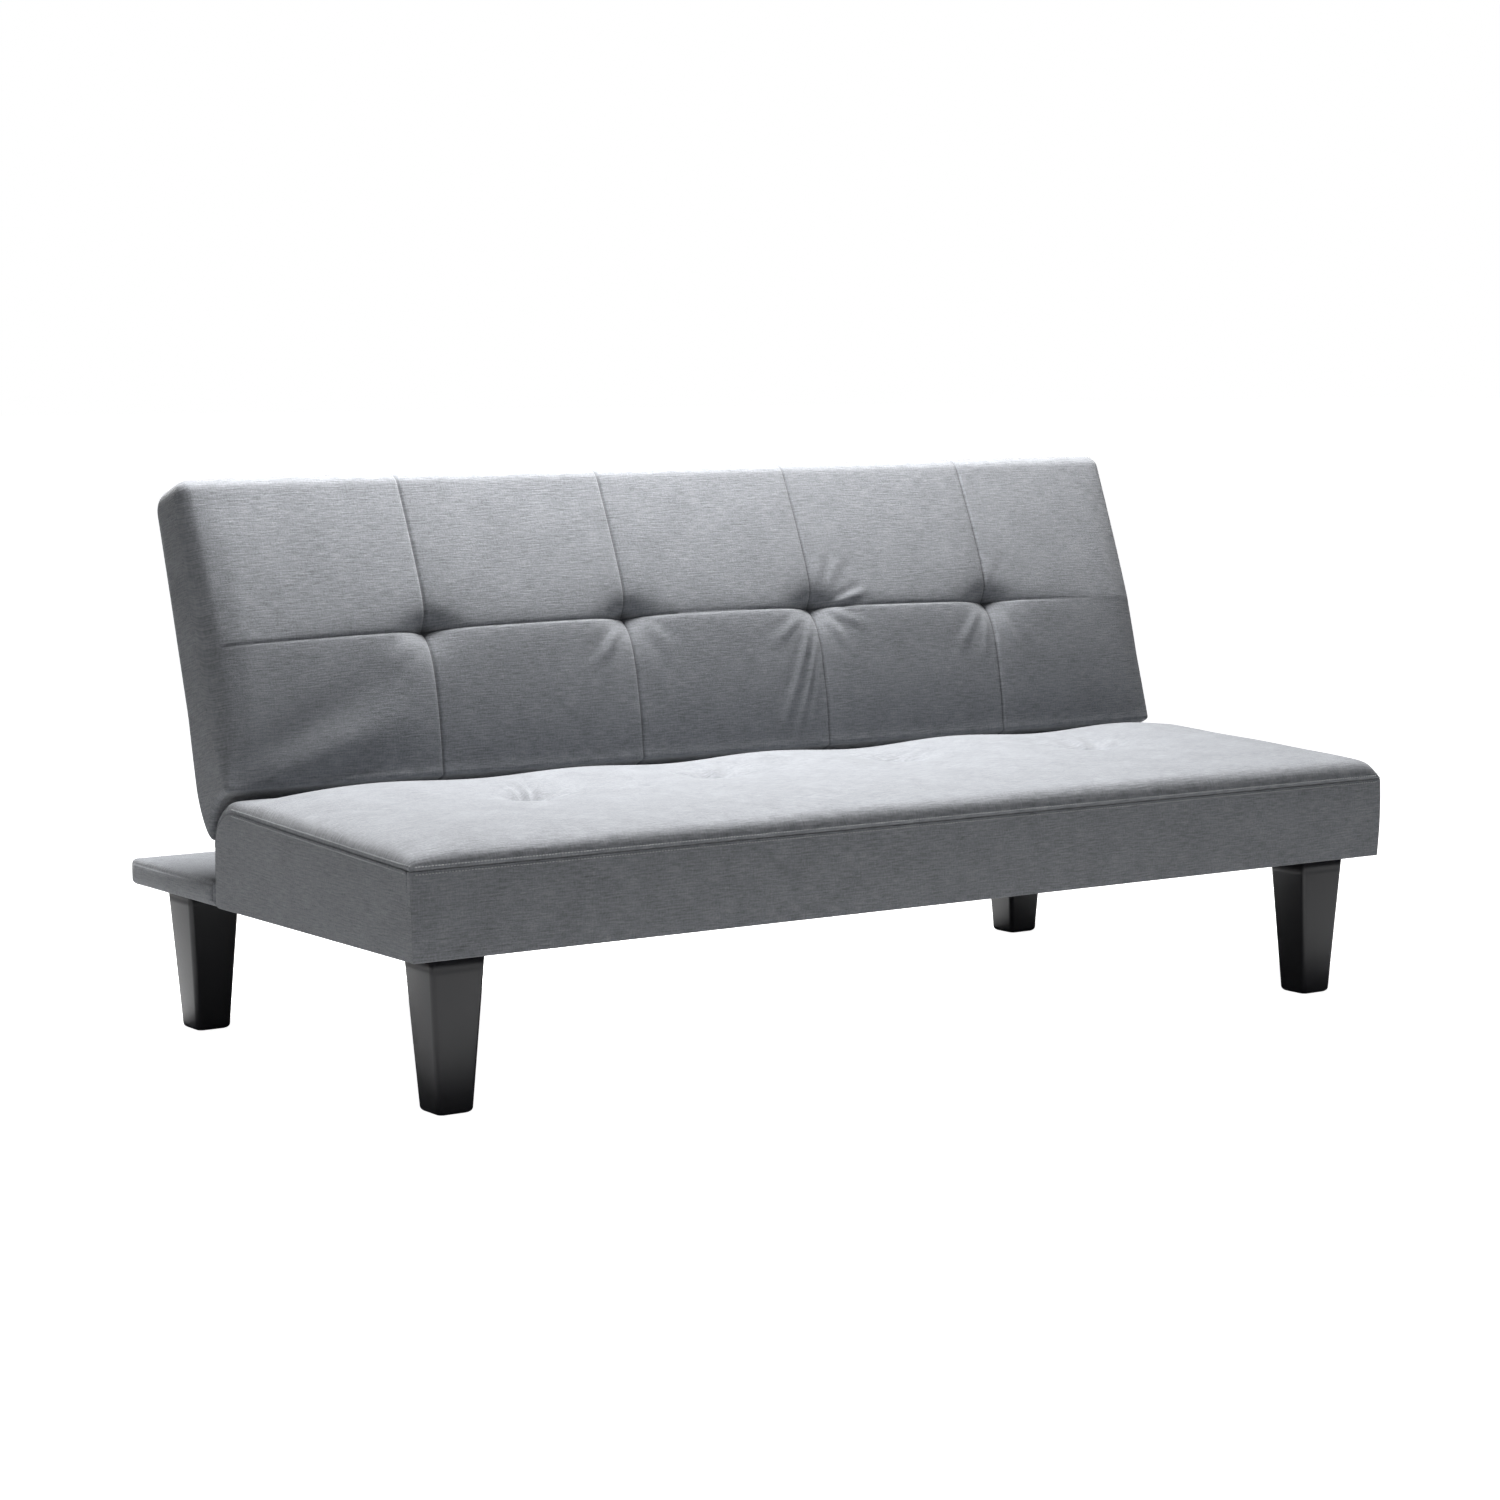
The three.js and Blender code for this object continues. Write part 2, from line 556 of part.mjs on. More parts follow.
// Padded roll along the foot of the back, open where the hinge arms enter
function backRoll() {
  const tip = roundCentre.t + sweptRound;
  const frontFace = spaced(BACK_SPLIT + GAP, tip - 2 * GAP, 5).map((t) => [t, lowerEdge(t)]);
  const nose = tip + ROLL_NOSE;
  const shoulder = BACK_ROLL_TOP + ROLL_SHOULDER;
  const curve = spaced(8, 78, 7).map((angle) => [
    nose + (BACK_REAR - nose) * Math.sin(radians(angle)),
    shoulder - (shoulder - BACK_ROLL_TIP) * Math.cos(radians(angle)),
  ]);
  const outline = [
    ...frontFace,
    ...curve,
    [BACK_REAR - GAP, BACK_ROLL_TOP - GAP],
    [BACK_SPLIT + GAP, BACK_ROLL_TOP - GAP],
  ];
  add(back, 'back_roll', 'fabric', profile(outline, [-WELL_INNER, WELL_INNER]));
  add(back, 'back_roll_left', 'fabric', profile(outline, [WELL_OUTER, HALF], -1));
  add(back, 'back_roll_right', 'fabric', profile(outline, [WELL_OUTER, HALF]));
}

function backCovers() {
  const wall = [BACK_SPLIT + GAP, BACK_COVER_FRONT - GAP];
  const height = [BACK_ROLL_TOP, TOP_ROLL_BASE - GAP];
  add(back, 'back_rear_cover', 'fabric',
    block([-HALF, HALF], [BACK_COVER_FRONT, BACK_REAR], height));
  add(back, 'back_left_cover', 'fabric', block([HALF - PANEL_COVER, HALF], wall, height, -1));
  add(back, 'back_right_cover', 'fabric', block([HALF - PANEL_COVER, HALF], wall, height));
  const corner = spaced(90, 0, 8).map((angle) => {
    const [t, w] = polar(TOP_ROLL, angle);
    return [BACK_REAR - TOP_ROLL + t, TOP_ROLL_BASE + w];
  });
  const outline = [[wall[0], TOP_ROLL_BASE], [wall[0], BACK_LENGTH], ...corner];
  add(back, 'back_top_roll', 'fabric', profile(outline.reverse(), [-HALF, HALF]));
}

function backFrame() {
  const depth = [BOARD_REAR + GAP, BACK_COVER_FRONT - GAP];
  const high = TOP_ROLL_BASE - GAP;
  const stile = [BACK_ROLL_TOP, high - BACK_RAIL - GAP];
  const hingeStile = [ARM_INNER - GAP - BACK_RAIL, ARM_INNER - GAP];
  add(back, 'back_board', 'plywood',
    block([-INNER, INNER], [BACK_SPLIT + GAP, BOARD_REAR], [BACK_ROLL_TOP, high]));
  add(back, 'back_top_rail', 'timber', block([-INNER, INNER], depth, [high - BACK_RAIL, high]));
  add(back, 'back_bottom_rail', 'timber',
    block([GAP - hingeStile[0], hingeStile[0] - GAP], depth, [BACK_ROLL_TOP, BACK_ROLL_TOP + BACK_RAIL]));
  add(back, 'back_centre_stile', 'timber', block([-BACK_RAIL / 2, BACK_RAIL / 2], depth,
    [BACK_ROLL_TOP + BACK_RAIL + GAP, stile[1]]));
  for (const [sideName, side] of [['left', -1], ['right', 1]]) {
    add(back, `back_${sideName}_stile`, 'timber', block([INNER - BACK_RAIL, INNER], depth, stile, side));
    add(back, `back_${sideName}_hinge_stile`, 'timber', block(hingeStile, depth, stile, side));
  }
}

// Ratchet hinge: a fixed arm on the bearer, a toothed arm on the back's stile, their pin and the pawl
function polar(radius, angle) {
  return [radius * Math.cos(radians(angle)), radius * Math.sin(radians(angle))];
}

// Toothed wheel of the moving arm: notches pass the pawl one click apart
function toothedHub() {
  const outline = [];
  const meet = PAWL_MEET + RECLINE;
  const first = meet - LATCH_STEP * 1.5;
  const teeth = LATCH_STEPS + 2;
  for (let tooth = 0; tooth < teeth; tooth++) {
    const angle = first + tooth * LATCH_STEP;
    outline.push(polar(TOOTH_TIP, angle), polar(TOOTH_TIP - TOOTH_DEPTH, angle + LATCH_STEP / 2));
  }
  const last = first + teeth * LATCH_STEP;
  outline.push(polar(TOOTH_TIP, last));
  outline.push(...spaced(last, first + 360, 24).slice(1, -1).map((angle) => polar(TOOTH_TIP, angle)));
  return outline;
}

// Pawl, drawn about its own pin with the tip just clear of the teeth
function pawlOutline() {
  const meet = radians(PAWL_MEET);
  const outward = [Math.cos(meet), Math.sin(meet)];
  const along = [-outward[1], outward[0]];
  const onTip = (radius, shift) => [
    radius * outward[0] + shift * along[0] - PAWL_BACK,
    radius * outward[1] + shift * along[1] + PAWL_DROP,
  ];
  const clear = TOOTH_TIP + PAWL_EASE;
  const boss = spaced(70, -150, 10).map((angle) => polar(PAWL_BOSS, angle));
  return [
    onTip(clear + PAWL_NECK_LENGTH, -PAWL_NECK_HALF),
    onTip(clear + PAWL_TIP_LENGTH, -PAWL_TIP_HALF),
    onTip(clear, 0),
    onTip(clear + PAWL_TIP_LENGTH, PAWL_TIP_HALF),
    ...boss,
  ];
}

function hinges() {
  const arm = [ARM_INNER, ARM_OUTER];
  const plate = [PLATE_INNER, PLATE_OUTER];
  const pawlY = PIVOT_Y + PAWL_BACK;
  const pawlZ = PIVOT_Z - PAWL_DROP;
  const armCentre = (BOARD_REAR + BACK_COVER_FRONT) / 2;
  const foot = [PIVOT_Y - ARM_FOOT_LENGTH / 3, PIVOT_Y + ARM_FOOT_LENGTH * 2 / 3];
  const footLow = FRAME_BASE + ARM_FOOT_LIFT;
  const pinEnd = ARM_INNER - PIN_HEAD;
  const pawlPinEnd = SPRING_INNER - PIN_HEAD;
  for (const [sideName, side] of [['left', -1], ['right', 1]]) {
    const neck = [
      [PIVOT_Y - HUB_RADIUS, PIVOT_Z],
      [PIVOT_Y - HUB_RADIUS, footLow],
      [pawlY + ARM_NECK_EDGE, footLow],
      [pawlY + ARM_NECK_EDGE, pawlZ + ARM_NECK_RISE],
      [PIVOT_Y + HUB_RADIUS, PIVOT_Z],
    ];
    add(sofa, `${sideName}_hinge_fixed_arm`, 'steel', cut(
      join(rod(HUB_RADIUS, plate, PIVOT_Y, PIVOT_Z, side, 40), profile(neck, plate, side),
        block(plate, foot, [footLow, BEARER_TOP - GAP], side)),
      rod(PIN_RADIUS + GAP, [PLATE_INNER - 1, PLATE_OUTER + 1], PIVOT_Y, PIVOT_Z, side),
      rod(PAWL_PIN_RADIUS + GAP, [PLATE_INNER - 1, PLATE_OUTER + 1], pawlY, pawlZ, side)));
    add(back, `${sideName}_hinge_moving_arm`, 'steel', cut(
      join(profile(toothedHub(), arm, side),
        block(arm, [armCentre - ARM_WIDTH / 2, armCentre + ARM_WIDTH / 2], [0, ARM_REACH], side)),
      rod(PIN_RADIUS + GAP, [ARM_INNER - 1, ARM_OUTER + 1], 0, 0, side)));
    add(sofa, `${sideName}_hinge_pin`, 'steel', join(
      rod(PIN_RADIUS, [pinEnd, PLATE_OUTER + PIN_HEAD], PIVOT_Y, PIVOT_Z, side),
      rod(PIN_RADIUS + PIN_RIM, [pinEnd, ARM_INNER - GAP], PIVOT_Y, PIVOT_Z, side),
      rod(PIN_RADIUS + PIN_RIM, [PLATE_OUTER + GAP, PLATE_OUTER + PIN_HEAD], PIVOT_Y, PIVOT_Z, side)));
    add(sofa, `${sideName}_pawl_pin`, 'steel', join(
      rod(PAWL_PIN_RADIUS, [pawlPinEnd, PLATE_OUTER], pawlY, pawlZ, side),
      rod(PAWL_PIN_RADIUS + PAWL_PIN_RIM, [pawlPinEnd, SPRING_INNER - GAP], pawlY, pawlZ, side)));
    add(sofa, `${sideName}_pawl_spring`, 'steel', cut(
      rod(SPRING_RADIUS, [SPRING_INNER, ARM_INNER - GAP], pawlY, pawlZ, side),
      rod(PAWL_PIN_RADIUS + GAP, [SPRING_INNER - 1, ARM_INNER + 1], pawlY, pawlZ, side)));
    add(sofa, `${sideName}_pawl`, 'steel', cut(
      profile(pawlOutline(), arm, side).translate(0, pawlY, pawlZ),
      rod(PAWL_PIN_RADIUS + GAP, [ARM_INNER - 1, ARM_OUTER + 1], pawlY, pawlZ, side)));
  }
}

add(sofa, 'seat_cushion', 'fabric', seatCushion());
seatCovers();
baseFrame();
shelf();
legs();
add(back, 'back_cushion', 'fabric', backCushion());
backRoll();
backCovers();
backFrame();
hinges();

export default sofa;
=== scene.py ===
import json
import math

import bmesh
import bpy
import numpy as np
from mathutils import Matrix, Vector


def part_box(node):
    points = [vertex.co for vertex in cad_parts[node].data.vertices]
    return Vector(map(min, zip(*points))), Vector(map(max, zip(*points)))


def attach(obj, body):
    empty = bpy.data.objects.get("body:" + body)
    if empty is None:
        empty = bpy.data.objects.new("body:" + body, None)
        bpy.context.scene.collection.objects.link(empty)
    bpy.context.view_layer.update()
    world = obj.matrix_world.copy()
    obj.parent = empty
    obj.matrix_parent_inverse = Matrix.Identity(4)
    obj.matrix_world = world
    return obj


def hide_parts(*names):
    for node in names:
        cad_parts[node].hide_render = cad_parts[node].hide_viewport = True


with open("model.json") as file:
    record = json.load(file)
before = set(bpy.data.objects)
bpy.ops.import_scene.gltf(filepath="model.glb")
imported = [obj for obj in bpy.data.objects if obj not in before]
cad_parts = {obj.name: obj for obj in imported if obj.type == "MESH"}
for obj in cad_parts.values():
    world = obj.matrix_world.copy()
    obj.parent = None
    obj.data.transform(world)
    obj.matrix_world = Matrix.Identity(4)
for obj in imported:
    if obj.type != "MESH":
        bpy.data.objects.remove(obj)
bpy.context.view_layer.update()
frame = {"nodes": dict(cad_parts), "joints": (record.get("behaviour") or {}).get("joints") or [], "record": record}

# Sizes in metres, most of them read off the frame. Left is -X, the front is -Y.
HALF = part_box("seat_front_cover")[1].x
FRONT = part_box("seat_front_cover")[0].y
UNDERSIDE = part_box("seat_front_cover")[0].z
PANEL = 0.008
GAP = 0.0003
SEAM_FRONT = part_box("seat_front_cover")[1].z + 2 * GAP
SEAT_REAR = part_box("seat_rear_cover")[1].y
SEAT_ROUND = 0.058
ROUND_Y = SEAT_REAR - SEAT_ROUND
ROUND_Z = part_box("seat_rear_cover")[1].z + 2 * GAP
SEAM_REAR = ROUND_Z + SEAT_ROUND
FLAT_RUN = ROUND_Y - FRONT
SHELF_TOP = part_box("shelf_top_cover")[1].z
SHELF_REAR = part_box("shelf_rear_cover")[1].y
DECK_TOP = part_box("seat_deck")[1].z

# The back, along its own slope from the hinge axis: depth to the rear and height
RECLINE = math.radians(17.5)
HINGE = next(joint for joint in frame["joints"] if joint["name"] == "back_fold")["pos_m"]
BACK_FRONT = -0.074
BACK_REAR = 0.026
BACK_TOP = 0.539
BACK_FOOT = 0.094
FOOT_TIP = 0.026
TOP_ROUND = 0.032
FRONT_ROUND = 0.020
FOOT_ROUND = 0.010
LEVEL_SEAM = 0.298
LEVEL_ARCH = 0.014
FACE_INSET = BACK_FRONT + FRONT_ROUND
PAD_REAR = BACK_REAR - 0.0008

# The arc that the foot of the back passes over as it tips forward
SWEEP_DEPTH = -0.0663
SWEEP_HEIGHT = 0.0204
SWEEP_RADIUS = 0.0605

# Spacing of the cloth's points before they are made finer
BACK_STEP = 0.0084
SEAT_STEP = 0.009
PANEL_STEP = 0.012
ON_LINE = 1e-5

# One column of tufts on the back, and one on the seat under each
TUFTS = [0.020 + (i - 1.5) * 0.342 for i in range(4)]
SEAT_TUFT_Y = FRONT + 0.350
SEAT_TUFT_DEPTHS = (0.015, 0.009, 0.008, 0.010)
SEAT_TUFT_SHIFTS = (-0.056, -0.004, 0.004, -0.034)
TUFT_RUN = SEAT_TUFT_Y - FRONT

# The seat's rounded rim, and how far its ends swell out
SEAT_EDGE = 0.024
END_SWELL = 0.004

# Seams and stitches
SEAM_WIDTH = 0.0035
SEAM_DEPTH = 0.0026
SEWN_EDGE = 0.0014
STITCH_AWAY = 0.0048
STITCH_PITCH = 0.0048
THREAD = 0.0009

# The legs: half the width of the foot, and the radius of the corners and of the foot's rim
LEG_FOOT = 0.0275
LEG_CORNER = 0.0075
LEG_RIM = 0.007

# Heights between which an opening cuts right through the shelf and the underside cover
CUT_LOW, CUT_HIGH = 0.2, 0.3

# The floor as the camera sees it, where 1 is white
FLOOR_GLOW = 1.0

# How the cloth behaves while it settles
CLOTH = {"quality": 6, "mass": 0.25, "tension_stiffness": 18, "compression_stiffness": 18,
         "shear_stiffness": 6, "bending_stiffness": 0.25, "air_damping": 2,
         "vertex_group_mass": "held", "pin_stiffness": 1, "use_pressure": True}

# Pull wrinkles: tuft, start and end from it (across, and up the back or to the rear), width, height
BACK_PULLS = (
    (2, (0.036, 0.004), (0.112, 0.026), 0.0058, 0.0021),
    (2, (0.030, 0.030), (0.080, 0.105), 0.0085, 0.0008),
    (2, (0.012, 0.036), (0.040, 0.120), 0.0085, 0.0006),
    (2, (-0.012, -0.020), (-0.104, -0.225), 0.0070, 0.0019),
    (2, (-0.004, -0.045), (-0.078, -0.240), 0.0062, 0.0019),
    (2, (0.000, -0.060), (-0.046, -0.225), 0.0062, 0.0014),
    (2, (-0.030, -0.012), (-0.100, -0.066), 0.0075, 0.0011),
    (2, (0.014, -0.012), (0.052, -0.070), 0.0070, 0.0013),
    (2, (0.026, -0.006), (0.104, -0.040), 0.0070, 0.0011),
    (3, (-0.024, -0.010), (-0.084, -0.090), 0.0075, 0.0011),
    (3, (-0.008, -0.018), (-0.034, -0.110), 0.0065, 0.0010),
    (3, (0.006, -0.018), (0.010, -0.105), 0.0065, 0.0010),
    (3, (0.016, -0.014), (0.050, -0.100), 0.0075, 0.0011),
    (3, (0.010, 0.036), (0.026, 0.090), 0.0090, 0.0007),
    (1, (-0.018, -0.014), (-0.082, -0.085), 0.0085, 0.0018),
    (1, (-0.030, -0.030), (-0.060, -0.120), 0.0110, 0.0011),
    (1, (0.024, -0.010), (0.078, -0.070), 0.0110, 0.0008),
    (0, (-0.024, -0.010), (-0.090, -0.060), 0.0120, 0.0008),
)
CORNER_FOLD = ((-0.800, 0.085), (-0.500, 0.185), 0.030, 0.0045)
SEAT_PULLS = (
    (0, (0.004, -0.054), (0.040, 0.066), 0.0060, 0.0046),
    (0, (0.012, -0.058), (0.062, 0.026), 0.0060, 0.0040),
    (0, (-0.010, -0.050), (0.012, 0.050), 0.0060, 0.0026),
    (0, (0.024, -0.064), (0.092, -0.040), 0.0090, 0.0020),
    (1, (0.008, 0.000), (0.040, 0.070), 0.0090, 0.0036),
    (1, (-0.012, 0.000), (-0.036, 0.060), 0.0090, 0.0022),
    (1, (0.020, -0.008), (0.080, 0.010), 0.0100, 0.0020),
    (2, (-0.014, 0.004), (-0.050, 0.080), 0.0100, 0.0034),
    (2, (0.012, 0.004), (0.052, 0.044), 0.0100, 0.0024),
    (3, (0.004, -0.030), (0.026, 0.060), 0.0100, 0.0034),
    (3, (-0.020, -0.030), (-0.080, 0.026), 0.0100, 0.0030),
    (3, (0.024, -0.036), (0.080, -0.004), 0.0110, 0.0024),
)


# Curves of the cloth

def smooth(value, low, high):
    """A share that eases from 0 at low to 1 at high."""
    share = np.clip((value - low) / (high - low), 0, 1)
    return share * share * (3 - 2 * share)


def quarter(distance, radius):
    """Height of a quarter round, as a share, at a distance in from its edge."""
    share = np.clip(distance / radius, 0, 1)
    return np.sqrt(1 - (1 - share) ** 2)


def rising(distance, reach):
    """A share that rises fast at first and then levels off."""
    return 1 - np.exp(-distance / reach)


def arch(distance, radius):
    """A share that rises and falls again over twice a radius."""
    return np.sin(np.pi * np.clip(distance / (2 * radius), 0, 1))


def mound(across, along, wide, long):
    """A soft hump of height 1, with its own width and length."""
    return np.exp(-(across / wide) ** 2 - (along / long) ** 2)


def peak(distance, reach, power):
    """A share that falls off with distance, from 1 at the middle."""
    return np.exp(-(distance / reach) ** power)


def fold(across, up, start, end, wide, rise):
    """Rise of a pull wrinkle that runs from one place to another, with a dip on each side."""
    (x0, y0), (x1, y1) = start, end
    length = math.hypot(x1 - x0, y1 - y0)
    along_x, along_y = (x1 - x0) / length, (y1 - y0) / length
    run = ((across - x0) * along_x + (up - y0) * along_y) / length
    spread = wide * (0.7 + 0.6 * np.clip(run, 0, 1))
    off = ((up - y0) * along_x - (across - x0) * along_y) / spread
    fade = smooth(run, -0.08, 0.25) * (1 - smooth(run, 0.5, 1.0))
    dips = 0.5 * np.exp(-(np.abs(off) - 1.8) ** 2 / 0.9)
    return rise * fade * (np.exp(-off ** 2) - dips)


def arc(centre, radius, start, end, steps):
    """Points on an arc, from one angle to another in degrees."""
    angles = np.radians(np.linspace(start, end, steps + 1))
    return np.stack([centre[0] + radius * np.cos(angles), centre[1] + radius * np.sin(angles)], 1)


def even(points, cells):
    """The same line with its points spaced evenly."""
    points = np.asarray(points, float)
    run = np.concatenate([[0], np.cumsum(np.linalg.norm(np.diff(points, axis=0), axis=1))])
    at = np.linspace(0, run[-1], cells + 1)
    return np.stack([np.interp(at, run, points[:, 0]), np.interp(at, run, points[:, 1])], 1)


def lines(stops, step):
    """Values from stop to stop, no further apart than the step."""
    values = [stops[0]]
    for low, high in zip(stops, stops[1:]):
        cells = max(1, math.ceil((high - low) / step - 1e-6))
        values += [low + (high - low) * (i + 1) / cells for i in range(cells)]
    return np.array(values)


# Places on the base and on the back

def on_base(x, depth, height):
    """A place on the base, whose depth and height are the frame's own."""
    return np.stack([x, depth, height], -1)


def on_back(x, depth, height):
    """A place on the back, given along its slope, in the frame."""
    cos, sin = math.cos(RECLINE), math.sin(RECLINE)
    y = HINGE[1] + depth * cos + height * sin
    z = HINGE[2] - depth * sin + height * cos
    return np.stack([x, y, z], -1)


def back_place(points):
    """Width, depth and height along the back's slope of places in the frame."""
    cos, sin = math.cos(RECLINE), math.sin(RECLINE)
    y, z = points[:, 1] - HINGE[1], points[:, 2] - HINGE[2]
    return points[:, 0], y * cos - z * sin, y * sin + z * cos


def level_seam(x):
    """Height of the back's level seam, lower toward its ends."""
    return LEVEL_SEAM - LEVEL_ARCH * (x / HALF) ** 2


def lower_edge(depth):
    """Lowest height of the back at a depth, so that it clears the seat as it tips."""
    rise = np.maximum(SWEEP_RADIUS ** 2 - (depth - SWEEP_DEPTH) ** 2, 0)
    return SWEEP_HEIGHT + np.sqrt(rise)


# Meshes

def shown(name, data):
    """An object, put in the scene."""
    made = bpy.data.objects.new(name, data)
    bpy.context.scene.collection.objects.link(made)
    return made


def read_off(items, key, width=3):
    """A row of numbers for each point of a mesh."""
    found = np.empty(len(items) * width)
    items.foreach_get(key, found)
    return found.reshape(-1, width)


def places(piece):
    return read_off(piece.data.vertices, "co")


def normals(piece):
    return read_off(piece.data.vertex_normals, "vector")


def move_to(piece, points):
    piece.data.vertices.foreach_set("co", np.asarray(points, float).ravel())
    piece.data.update()


def rework(mesh, change):
    """Changes a mesh in its editable form."""
    form = bmesh.new()
    form.from_mesh(mesh)
    change(form)
    form.to_mesh(mesh)
    form.free()


def face_outward(form):
    bmesh.ops.recalc_face_normals(form, faces=form.faces)


def new_piece(name, points, faces, corners):
    """A smooth mesh with a cloth map in metres; corners holds a place for each corner of a face."""
    mesh = bpy.data.meshes.new(name)
    mesh.from_pydata([tuple(point) for point in points], [], faces)
    cloth = mesh.uv_layers.new(name="cloth")
    cloth.data.foreach_set("uv", np.asarray(corners, np.float32).ravel())
    piece = shown(name, mesh)
    rework(mesh, face_outward)
    mesh.polygons.foreach_set("use_smooth", [True] * len(mesh.polygons))
    mesh.update()
    return piece


def end_cap(ring, up, over):
    """A grid that fills an outline of four runs, spread evenly between them.

    Returns the number round the outline of each cell corner on it, the place of every corner, and
    how far each inner one is from the outline, from 0 to 1.
    """
    count = len(ring)
    border = {}
    for i in range(up + 1):
        border[i, 0] = i
        border[i, over] = (2 * up + over - i) % count
    for j in range(over + 1):
        border[up, j] = up + j
        border[0, j] = (count - j) % count
    spots = {cell: ring[number] for cell, number in border.items()}
    inner = {}
    for i in range(1, up):
        for j in range(1, over):
            a, b = i / up, j / over
            ends = ((1 - a) * (1 - b) * spots[0, 0] + (1 - a) * b * spots[0, over]
                    + a * (1 - b) * spots[up, 0] + a * b * spots[up, over])
            spots[i, j] = ((1 - b) * spots[i, 0] + b * spots[i, over]
                           + (1 - a) * spots[0, j] + a * spots[up, j] - ends)
            inner[i, j] = 16 * a * (1 - a) * b * (1 - b)
    return border, spots, inner


def loaf(name, sides, across, half, rounding, place, puff=0.0, round_steps=6):
    """A closed body with one outline all along its width, rounded over into flat ends.

    sides holds the outline as four runs of (depth, height) from corner to corner: up the front,
    back over the top, down the rear and forward underneath. across holds the lines along the width
    between the rounded ends, and rounding the radius of the ends, one value or one for each point
    of the outline. puff is how far the middle of each end stands out.
    """
    outline = np.concatenate([side[:-1] for side in sides])
    count = len(outline)
    radius = np.broadcast_to(rounding, (count,)).astype(float)
    tangent = np.roll(outline, -1, 0) - np.roll(outline, 1, 0)
    tangent /= np.linalg.norm(tangent, axis=1, keepdims=True)
    inward = np.stack([tangent[:, 1], -tangent[:, 0]], 1)
    gaps = np.linalg.norm(np.roll(outline, -1, 0) - outline, axis=1)
    run = np.concatenate([[0], np.cumsum(gaps)])

    turns = np.radians(np.linspace(90, 0, round_steps + 1))
    left, right = [[(side * (half - radius + radius * math.sin(turn)),
                     outline + inward * (radius * (1 - math.cos(turn)))[:, None]) for turn in order]
                   for side, order in ((-1, turns), (1, turns[::-1]))]
    columns = left + [(np.full(count, x), outline) for x in across] + right
    points = np.concatenate([place(x, shape[:, 0], shape[:, 1]) for x, shape in columns])
    faces, corners = [], []
    for c in range(len(columns) - 1):
        x0, x1 = columns[c][0], columns[c + 1][0]
        here, there = c * count, (c + 1) * count
        for k in range(count):
            n = (k + 1) % count
            faces.append((here + k, here + n, there + n, there + k))
            corners += [(x0[k], run[k]), (x0[n], run[k + 1]), (x1[n], run[k + 1]), (x1[k], run[k])]

    up, over = len(sides[0]) - 1, len(sides[1]) - 1
    for side, column in ((-1, 0), (1, len(columns) - 1)):
        border, spots, inner = end_cap(columns[column][1], up, over)
        numbers = {cell: column * count + number for cell, number in border.items()}
        numbers.update({cell: len(points) + number for number, cell in enumerate(inner)})
        if inner:
            flat = np.array([spots[cell] for cell in inner])
            out = side * (half + puff * np.array(list(inner.values())))
            points = np.concatenate([points, place(out, flat[:, 0], flat[:, 1])])
        for i in range(up):
            for j in range(over):
                around = [(i, j), (i + 1, j), (i + 1, j + 1), (i, j + 1)]
                faces.append(tuple(numbers[cell] for cell in around))
                corners += [tuple(spots[cell]) for cell in around]
    return new_piece(name, points, faces, corners)


def slab(name, depth, height, half, place, edge, step, puff=0.0):
    """A thin padded panel: its outline is a rectangle with rounded edges."""
    d0, d1 = depth
    h0, h1 = height
    up = lines([h0 + edge, h1 - edge], step)
    over = lines([d0 + edge, d1 - edge], step)
    front = np.concatenate([arc((d0 + edge, h0 + edge), edge, 225, 180, 3),
                            np.stack([np.full(len(up) - 2, d0), up[1:-1]], 1),
                            arc((d0 + edge, h1 - edge), edge, 180, 135, 3)])
    top = np.concatenate([arc((d0 + edge, h1 - edge), edge, 135, 90, 3),
                          np.stack([over[1:-1], np.full(len(over) - 2, h1)], 1),
                          arc((d1 - edge, h1 - edge), edge, 90, 45, 3)])
    rear = front[::-1] * (-1, 1) + (d0 + d1, 0)
    base = top[::-1] * (1, -1) + (0, h0 + h1)
    across = lines([-half + 2 * edge, half - 2 * edge], step)
    return loaf(name, [front, top, rear, base], across, half, edge, place, puff, round_steps=4)


def cover_over(name, node, edge, step):
    """A thin padded panel in the space of one cover of the base."""
    low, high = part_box(node)
    half = (high.x - low.x) / 2
    piece = slab(name, (low.y, high.y), (low.z, high.z), half, on_base, edge, step)
    points = places(piece)
    points[:, 0] += (low.x + high.x) / 2
    move_to(piece, points)
    return piece


def apply(piece):
    """Makes what a piece's modifiers show its plain mesh."""
    graph = bpy.context.evaluated_depsgraph_get()
    finished = piece.evaluated_get(graph)
    mesh = bpy.data.meshes.new_from_object(finished, preserve_all_data_layers=True, depsgraph=graph)
    old = piece.data
    piece.modifiers.clear()
    piece.data = mesh
    mesh.name = piece.name
    bpy.data.meshes.remove(old)


def subdivide(piece):
    """Makes a piece one step finer and rounder."""
    modifier = piece.modifiers.new("finer", "SUBSURF")
    modifier.levels = modifier.render_levels = 1
    apply(piece)


def close_under(piece):
    """Closes the open rim that a piece hides underneath."""
    def fill(form):
        bmesh.ops.holes_fill(form, edges=[edge for edge in form.edges if edge.is_boundary])
        face_outward(form)

    rework(piece.data, fill)


def merge_flat(piece, hidden):
    """Joins the flat faces that another piece covers into one."""
    covered = hidden(places(piece))

    def join(form):
        form.verts.ensure_lookup_table()
        region = [face for face in form.faces if all(covered[point.index] for point in face.verts)]
        bmesh.ops.dissolve_faces(form, faces=region, use_verts=True)

    rework(piece.data, join)


